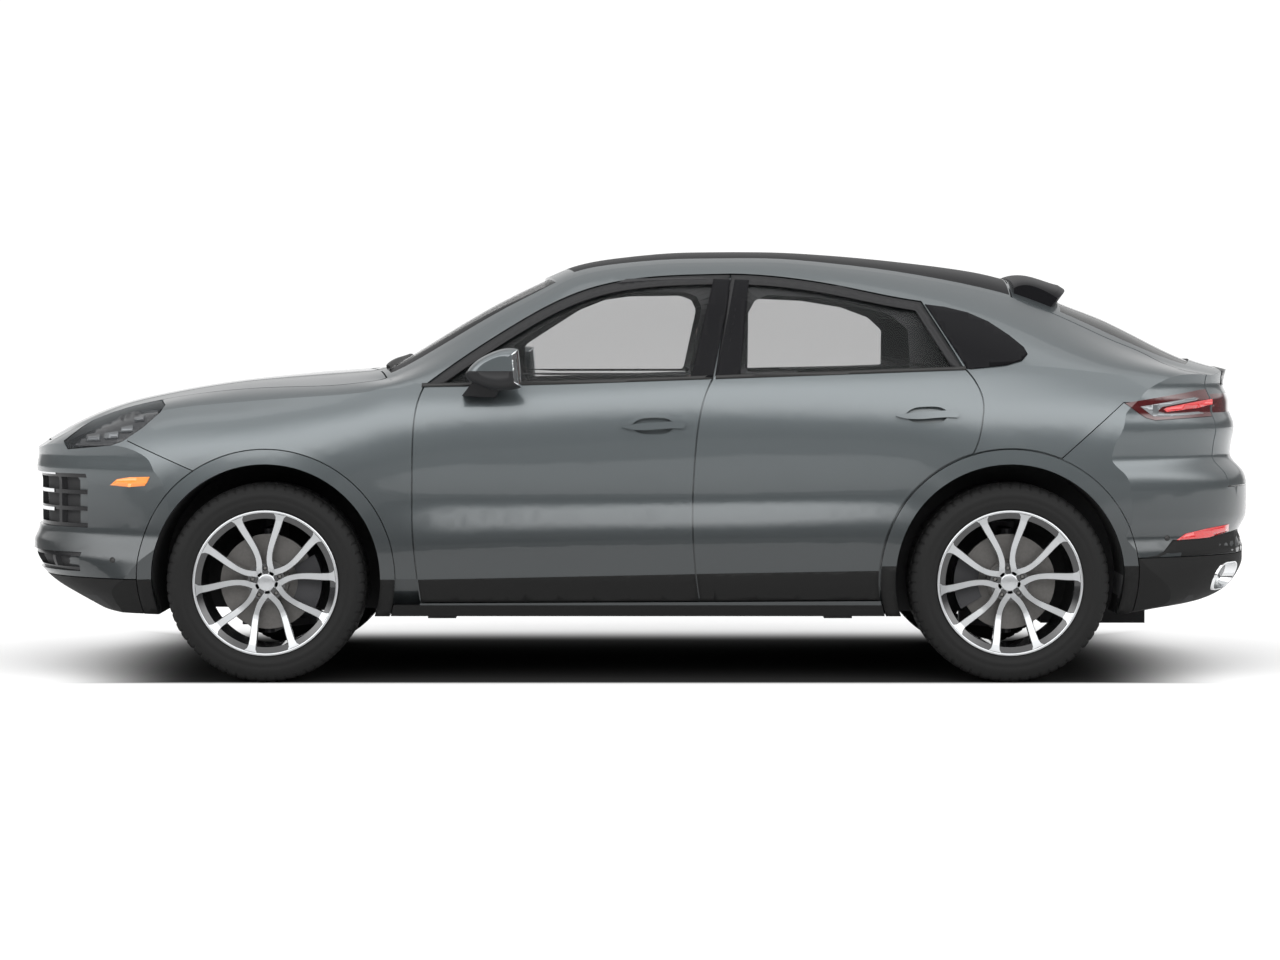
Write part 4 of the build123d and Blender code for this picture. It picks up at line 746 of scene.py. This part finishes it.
def inner_trim(name, outer, inner, tree, side, body, inset=0.030, thick=0.012, count=96):
    """Closed ring between two outlines, inset from the glass."""
    hole = resampled(inner, count)
    rim = []
    mid = sum(hole, Vector((0, 0))) / count
    edge = [Vector(p) for p in outer] + [Vector(outer[0])]
    for p in hole:
        out = (p - mid).normalized()
        best = None
        for a, b in zip(edge, edge[1:]):
            cross = out.x * (b - a).y - out.y * (b - a).x
            if abs(cross) < 1e-9:
                continue
            t = ((a - mid).x * (b - a).y - (a - mid).y * (b - a).x) / cross
            u = ((a - mid).x * out.y - (a - mid).y * out.x) / cross
            if t > 0 and -0.001 <= u <= 1.001 and (best is None or t > best):
                best = t
        rim.append(mid + out * max(best or 0.0, (p - mid).length + 0.004))

    def lay(p, depth):
        hit, _ = drop(tree, (p.x, side * 2, p.y), (0, -side, 0))
        y = hit.y if hit is not None else side * 0.72
        return (p.x, y - side * depth, p.y)
    verts = []
    for line, depth in ((rim, inset), (hole, inset), (hole, inset + thick),
                        (rim, inset + thick)):
        verts += [lay(p, depth) for p in line]
    faces = [[j * count + i, j * count + (i + 1) % count,
              (j + 1) % 4 * count + (i + 1) % count, (j + 1) % 4 * count + i]
             for j in range(4) for i in range(count)]
    return clean_normals(finish_mesh(name, verts, faces, TRIM, body, smooth=False))


for side, s in SIDES:
    for end, (outer, inner) in INNER.items():
        inner_trim(f"inner_trim_{end}_{side}", outer, inner,
                   tree_of(f"{end}_door_glass_{side}"), s, f"{end}_door_{side}")

# Dark foot of the arch trims, dark half and glass of the mirrors; the rear bumper's dark corner is laid with the
# small things on the skin.
for side, s in SIDES:
    def facing(c, n, s=s):
        return n.y * s > 0.15 and c.y * s > 0.6

    for end, x0, x1, z in (("front", 0.90, 2.02, 0.402), ("rear", -2.02, -0.90, 0.455)):
        skin_copy(f"arch_foot_{end}_{side}", "wheel_arch_trims", facing,
                  [line_plane((x0, z), (x1, z), above=False), ((x0, 0, 0), (1, 0, 0)),
                   ((x1, 0, 0), (-1, 0, 0))], PLASTIC, "body", proud=0.0015)
    skin_copy(f"mirror_foot_{side}", f"mirror_{side}", lambda c, n: True,
              [line_plane((0.460, 1.214), (0.680, 1.214), above=False)], SATIN,
              f"front_door_{side}", proud=0.0012)
    skin_copy(f"mirror_face_{side}", f"mirror_{side}",
              lambda c, n: n.x < -0.5 and c.x < 0.52 and c.z > 1.15, [], MIRROR,
              f"front_door_{side}", proud=0.0014)

# ---- small things on the skin -----------------------------------------------
for side, s in SIDES:
    bumper = tree_of("front_bumper")
    patch(f"side_marker_{side}", [(2.072, 0.766), (2.042, 0.790), (1.990, 0.799),
                                  (1.905, 0.802), (1.914, 0.784), (1.926, 0.766), (1.990, 0.760)],
          bumper, AMBER, "body", side=s, proud=0.0025, thick=0.005, step=0.02)
    tail = tree_of("rear_bumper")
    patch(f"rear_reflector_{side}", [(-2.099, 0.550), (-2.141, 0.575), (-2.240, 0.592),
                                     (-2.337, 0.603), (-2.340, 0.574), (-2.239, 0.554)],
          tail, RED, "body", side=s, proud=0.002, thick=0.005, step=0.02)
    lamp = tree_of("headlamps")
    patch(f"headlamp_bezel_{side}", [(2.262, 0.930), (2.070, 0.934), (2.026, 0.950),
                                     (1.952, 1.000), (1.892, 1.056), (1.905, 1.078),
                                     (1.990, 1.078), (2.056, 1.060), (2.118, 1.034),
                                     (2.200, 0.984)],
          lamp, LAMP_DARK, "body", side=s, proud=-0.024, thick=0.004, step=0.02)
    for k, (x, z, w, h) in enumerate([(2.165, 0.962, 0.060, 0.018), (2.085, 0.974, 0.060, 0.022),
                                      (2.020, 1.000, 0.050, 0.020),
                                      (1.975, 1.044, 0.040, 0.014)]):
        patch(f"headlamp_unit_{side}_{k}",
              [(x - w / 2, z - h / 2), (x + w / 2, z - h / 2 - 0.004),
               (x + w / 2, z + h / 2 - 0.006), (x - w / 2, z + h / 2 + 0.004)], lamp, LAMP_WHITE, "body", side=s,
              proud=-0.018, thick=0.008, step=0.02)
    # Tail lamp: clear wedge, red bands, dark surround.
    rear_lamp = tree_of("tail_lamps")
    patch(f"tail_clear_{side}", [(-1.948, 1.074), (-1.990, 1.080), (-2.180, 1.108),
                                 (-2.205, 1.104), (-2.190, 1.096), (-2.040, 1.072),
                                 (-2.020, 1.056), (-2.060, 1.046), (-2.200, 1.052),
                                 (-2.230, 1.044), (-2.080, 1.034), (-2.000, 1.036)],
          rear_lamp, LAMP_WHITE, "body", side=s, proud=0.0012, thick=0.004, step=0.02)
    patch(f"tail_red_{side}", [(-2.046, 1.062), (-2.060, 1.070), (-2.200, 1.092),
                               (-2.262, 1.100), (-2.262, 1.079), (-2.200, 1.066),
                               (-2.060, 1.052)],
          rear_lamp, RED, "body", side=s, proud=0.0012, thick=0.004, step=0.02)
    # The dark lower corner rises behind the wheel to the reflector.
    patch(f"rear_corner_{side}", [(-1.960, 0.486), (-2.014, 0.494), (-2.041, 0.507),
                                  (-2.084, 0.553), (-2.100, 0.551), (-2.200, 0.552),
                                  (-2.300, 0.564), (-2.390, 0.576), (-2.420, 0.540),
                                  (-2.420, 0.489), (-2.200, 0.489)],
          tail, PLASTIC, "body", side=s, proud=0.0012, thick=0.003, step=0.03)

# ---- seats ------------------------------------------------------------------
def cushion(name, frames, mat, body, nodes, sides=28, power=3.4):
    """Stuffed piece through cross-sections: centre, half width along Y, half height
    and the direction in which that height lies."""
    verts, faces = [], []
    for (x, y, z), half_y, half_h, (ux, uz) in frames:
        for i in range(sides):
            a = 2 * math.pi * i / sides
            c, n = math.cos(a), math.sin(a)
            c = math.copysign(abs(c) ** (2 / power), c)
            n = math.copysign(abs(n) ** (2 / power), n)
            verts.append((x + ux * half_h * n, y + half_y * c, z + uz * half_h * n))
    for k in range(len(frames) - 1):
        for i in range(sides):
            j = (i + 1) % sides
            faces.append([k * sides + i, k * sides + j, (k + 1) * sides + j,
                          (k + 1) * sides + i])
    faces += [list(range(sides))[::-1], [(len(frames) - 1) * sides + i for i in range(sides)]]
    made = clean_normals(finish_mesh(name, verts, faces, mat, body))
    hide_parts(*nodes)
    return made


def seat(name, node, y, half, front, back, base, top, head_top, head_half):
    """Cushion, back and, where it has one, head restraint."""
    up = 0.075
    shares = (0.0, 0.04, 0.12, 0.5, 0.88, 0.96, 1.0)
    swell = (0.55, 0.84, 1.0, 1.0, 1.0, 0.84, 0.55)
    rear = back + 0.10
    cushion(f"{name}_cushion", [
        ((front + (rear - front) * t, y, base - 0.02 * t), half * (0.9 + 0.1 * w), up * w, (0, 1))
        for t, w in zip(shares, swell)], LEATHER, "body", [node])
    foot_z, lean = base - 0.02, (rear - 0.02 - (back - 0.02)) / (top - base)
    cushion(f"{name}_back", [
        ((rear - 0.03 - lean * (top - foot_z) * t, y, foot_z + (top - foot_z) * t),
         half * (0.86 + 0.12 * w - 0.16 * t), 0.055 * w, (1, 0))
        for t, w in zip(shares, swell)], LEATHER, "body", [node])
    if head_top:
        cushion(f"{name}_head", [
            ((back - 0.045 - 0.01 * t, y, top - 0.01 + (head_top - top + 0.01) * t),
             head_half * (0.8 + 0.2 * w), 0.045 * w, (1, 0))
            for t, w in zip(shares, swell)], LEATHER, "body", [node])


for side, s in SIDES:
    seat(f"front_seat_{side}", "front_seats", 0.400 * s, 0.250, 0.385, -0.230, 0.56, 1.235,
         1.395, 0.125)
    seat(f"rear_seat_{side}", "rear_seat", 0.280 * s, 0.275, -0.485, -1.000, 0.58, 1.175,
         None, 0)

# ---- nose: bright strips, slats and sensors ---------------------------------
def bar(name, verts, mat, body):
    """Closed bar from rows of four corners each."""
    rows = len(verts) // 4
    faces = [[4 * k + j, 4 * k + (j + 1) % 4, 4 * k + 4 + (j + 1) % 4, 4 * k + 4 + j]
             for k in range(rows - 1) for j in range(4)]
    faces += [[3, 2, 1, 0], [4 * rows - 4, 4 * rows - 3, 4 * rows - 2, 4 * rows - 1]]
    return clean_normals(finish_mesh(name, verts, faces, mat, body, smooth=False))


NOSE_TREE = tree_of("front_bumper", "front_grille")


def cross_strip(name, tree, z, y0, y1, height, thick, proud, mat, body, steps=24):
    """Bar across the nose that follows its plan at height z."""
    verts = []
    for i in range(steps + 1):
        y = y0 + (y1 - y0) * i / steps
        hit, normal = drop(tree, (3.0, y, z), (-1, 0, 0))
        if hit is None:
            continue
        out = Vector((normal.x, normal.y, 0)).normalized()
        for d, h in ((proud, -height / 2), (proud, height / 2), (proud - thick, height / 2),
                     (proud - thick, -height / 2)):
            verts.append((hit.x + out.x * d, y + out.y * d, z + h))
    return bar(name, verts, mat, body)


def dot(name, tree, x, z, radius, mat, body, side, proud=0.0012):
    ring = [(x + radius * math.cos(2 * math.pi * i / 16),
             z + radius * math.sin(2 * math.pi * i / 16)) for i in range(16)]
    return patch(name, ring, tree, mat, body, side=side, proud=proud, thick=0.004)


for side, s in SIDES:
    dot(f"sensor_front_{side}", tree_of("front_bumper"), 2.060, 0.475, 0.011, SEAL, "body", s)
    dot(f"sensor_rear_{side}", tree_of("rear_bumper"), -2.060, 0.560, 0.011, SEAL, "body", s)

# ---- bright tips of the exhaust, black lip of the tailgate ------------------
tips = NODES["exhaust"].data
tips.materials.append(CHROME)
for p in tips.polygons:
    if p.center.x < -2.20:
        p.material_index = 1
skin_copy("deck_lip", "tailgate", lambda c, n: n.z > 0.05 or n.x < -0.3,
          [((-2.322, 0, 0), (-1, 0, 0)), ((0, 0, 1.152), (0, 0, 1)), ((0, 0, 1.24), (0, 0, -1))],
          GLOSS, "tailgate", proud=0.0016, thick=0.003)

# ---- cabin: blank screens for the dash and gauges, shift console, wipers ----
def slab(name, x0, x1, y0, y1, z0, z1, mat, body, tilt=0.0, bevel=0.006):
    """Box with softened edges, leaned about Y round its middle."""
    work = bmesh.new()
    bmesh.ops.create_cube(work, size=1.0)
    size = Vector((x1 - x0, y1 - y0, z1 - z0))
    mid = Vector(((x0 + x1) / 2, (y0 + y1) / 2, (z0 + z1) / 2))
    for v in work.verts:
        v.co = Vector((v.co.x * size.x, v.co.y * size.y, v.co.z * size.z))
    bmesh.ops.bevel(work, geom=work.edges[:], offset=bevel, segments=2, affect="EDGES",
                    profile=0.5)
    turn = Matrix.Rotation(tilt, 4, "Y")
    verts = [mid + turn @ v.co for v in work.verts]
    work.verts.index_update()
    faces = [[v.index for v in f.verts] for f in work.faces]
    work.free()
    return finish_mesh(name, verts, faces, mat, body, smooth=False)


slab("dash_screen", 0.770, 0.784, -0.150, 0.170, 1.015, 1.105, SCREEN, "body", -0.35)
slab("gauge_screen", 0.770, 0.786, 0.235, 0.505, 1.035, 1.115, SCREEN, "body", -0.35)
slab("shift_console", 0.330, 0.480, -0.060, 0.060, 0.628, 0.648, GLOSS, "body", 0.05)

SCREEN_TREE = tree_of("windscreen", "body_shell", "hood")


def wiper(name, pivot, tip, width):
    """Blade and arm laid on the foot of the windscreen."""
    verts, steps = [], 12
    for i in range(steps + 1):
        x = pivot[0] + (tip[0] - pivot[0]) * i / steps
        y = pivot[1] + (tip[1] - pivot[1]) * i / steps
        hit, normal = drop(SCREEN_TREE, (x, y, 3), (0, 0, -1))
        if hit is None:
            continue
        for dx, dn in ((-width, 0.004), (width, 0.004), (width * 0.6, 0.020),
                       (-width * 0.6, 0.020)):
            verts.append(hit + normal * dn + Vector((dx, 0, 0)))
    return bar(name, verts, SEAL, "body")


wiper("wiper_left", (1.000, 0.560), (0.940, -0.030), 0.009)
wiper("wiper_right", (1.010, -0.060), (0.945, -0.600), 0.009)

for side, s in SIDES:
    skin_copy(f"screen_edge_{side}", "windscreen", lambda c, n: n.z > 0.2,
              [((0, 0.56 * s, 0), (0, s, 0))], ROOF, "body", proud=0.0012)

GRILLE = tree_of("front_grille")
for k, z in enumerate((0.736, 0.663)):
    cross_strip(f"grille_slat_{k}", GRILLE, z, -0.62, 0.62, 0.014, 0.010, 0.004, CHROME, "body")
cross_strip("grille_top", NOSE_TREE, 0.806, -0.64, 0.64, 0.010, 0.006, 0.003, CHROME, "body")


low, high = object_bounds()
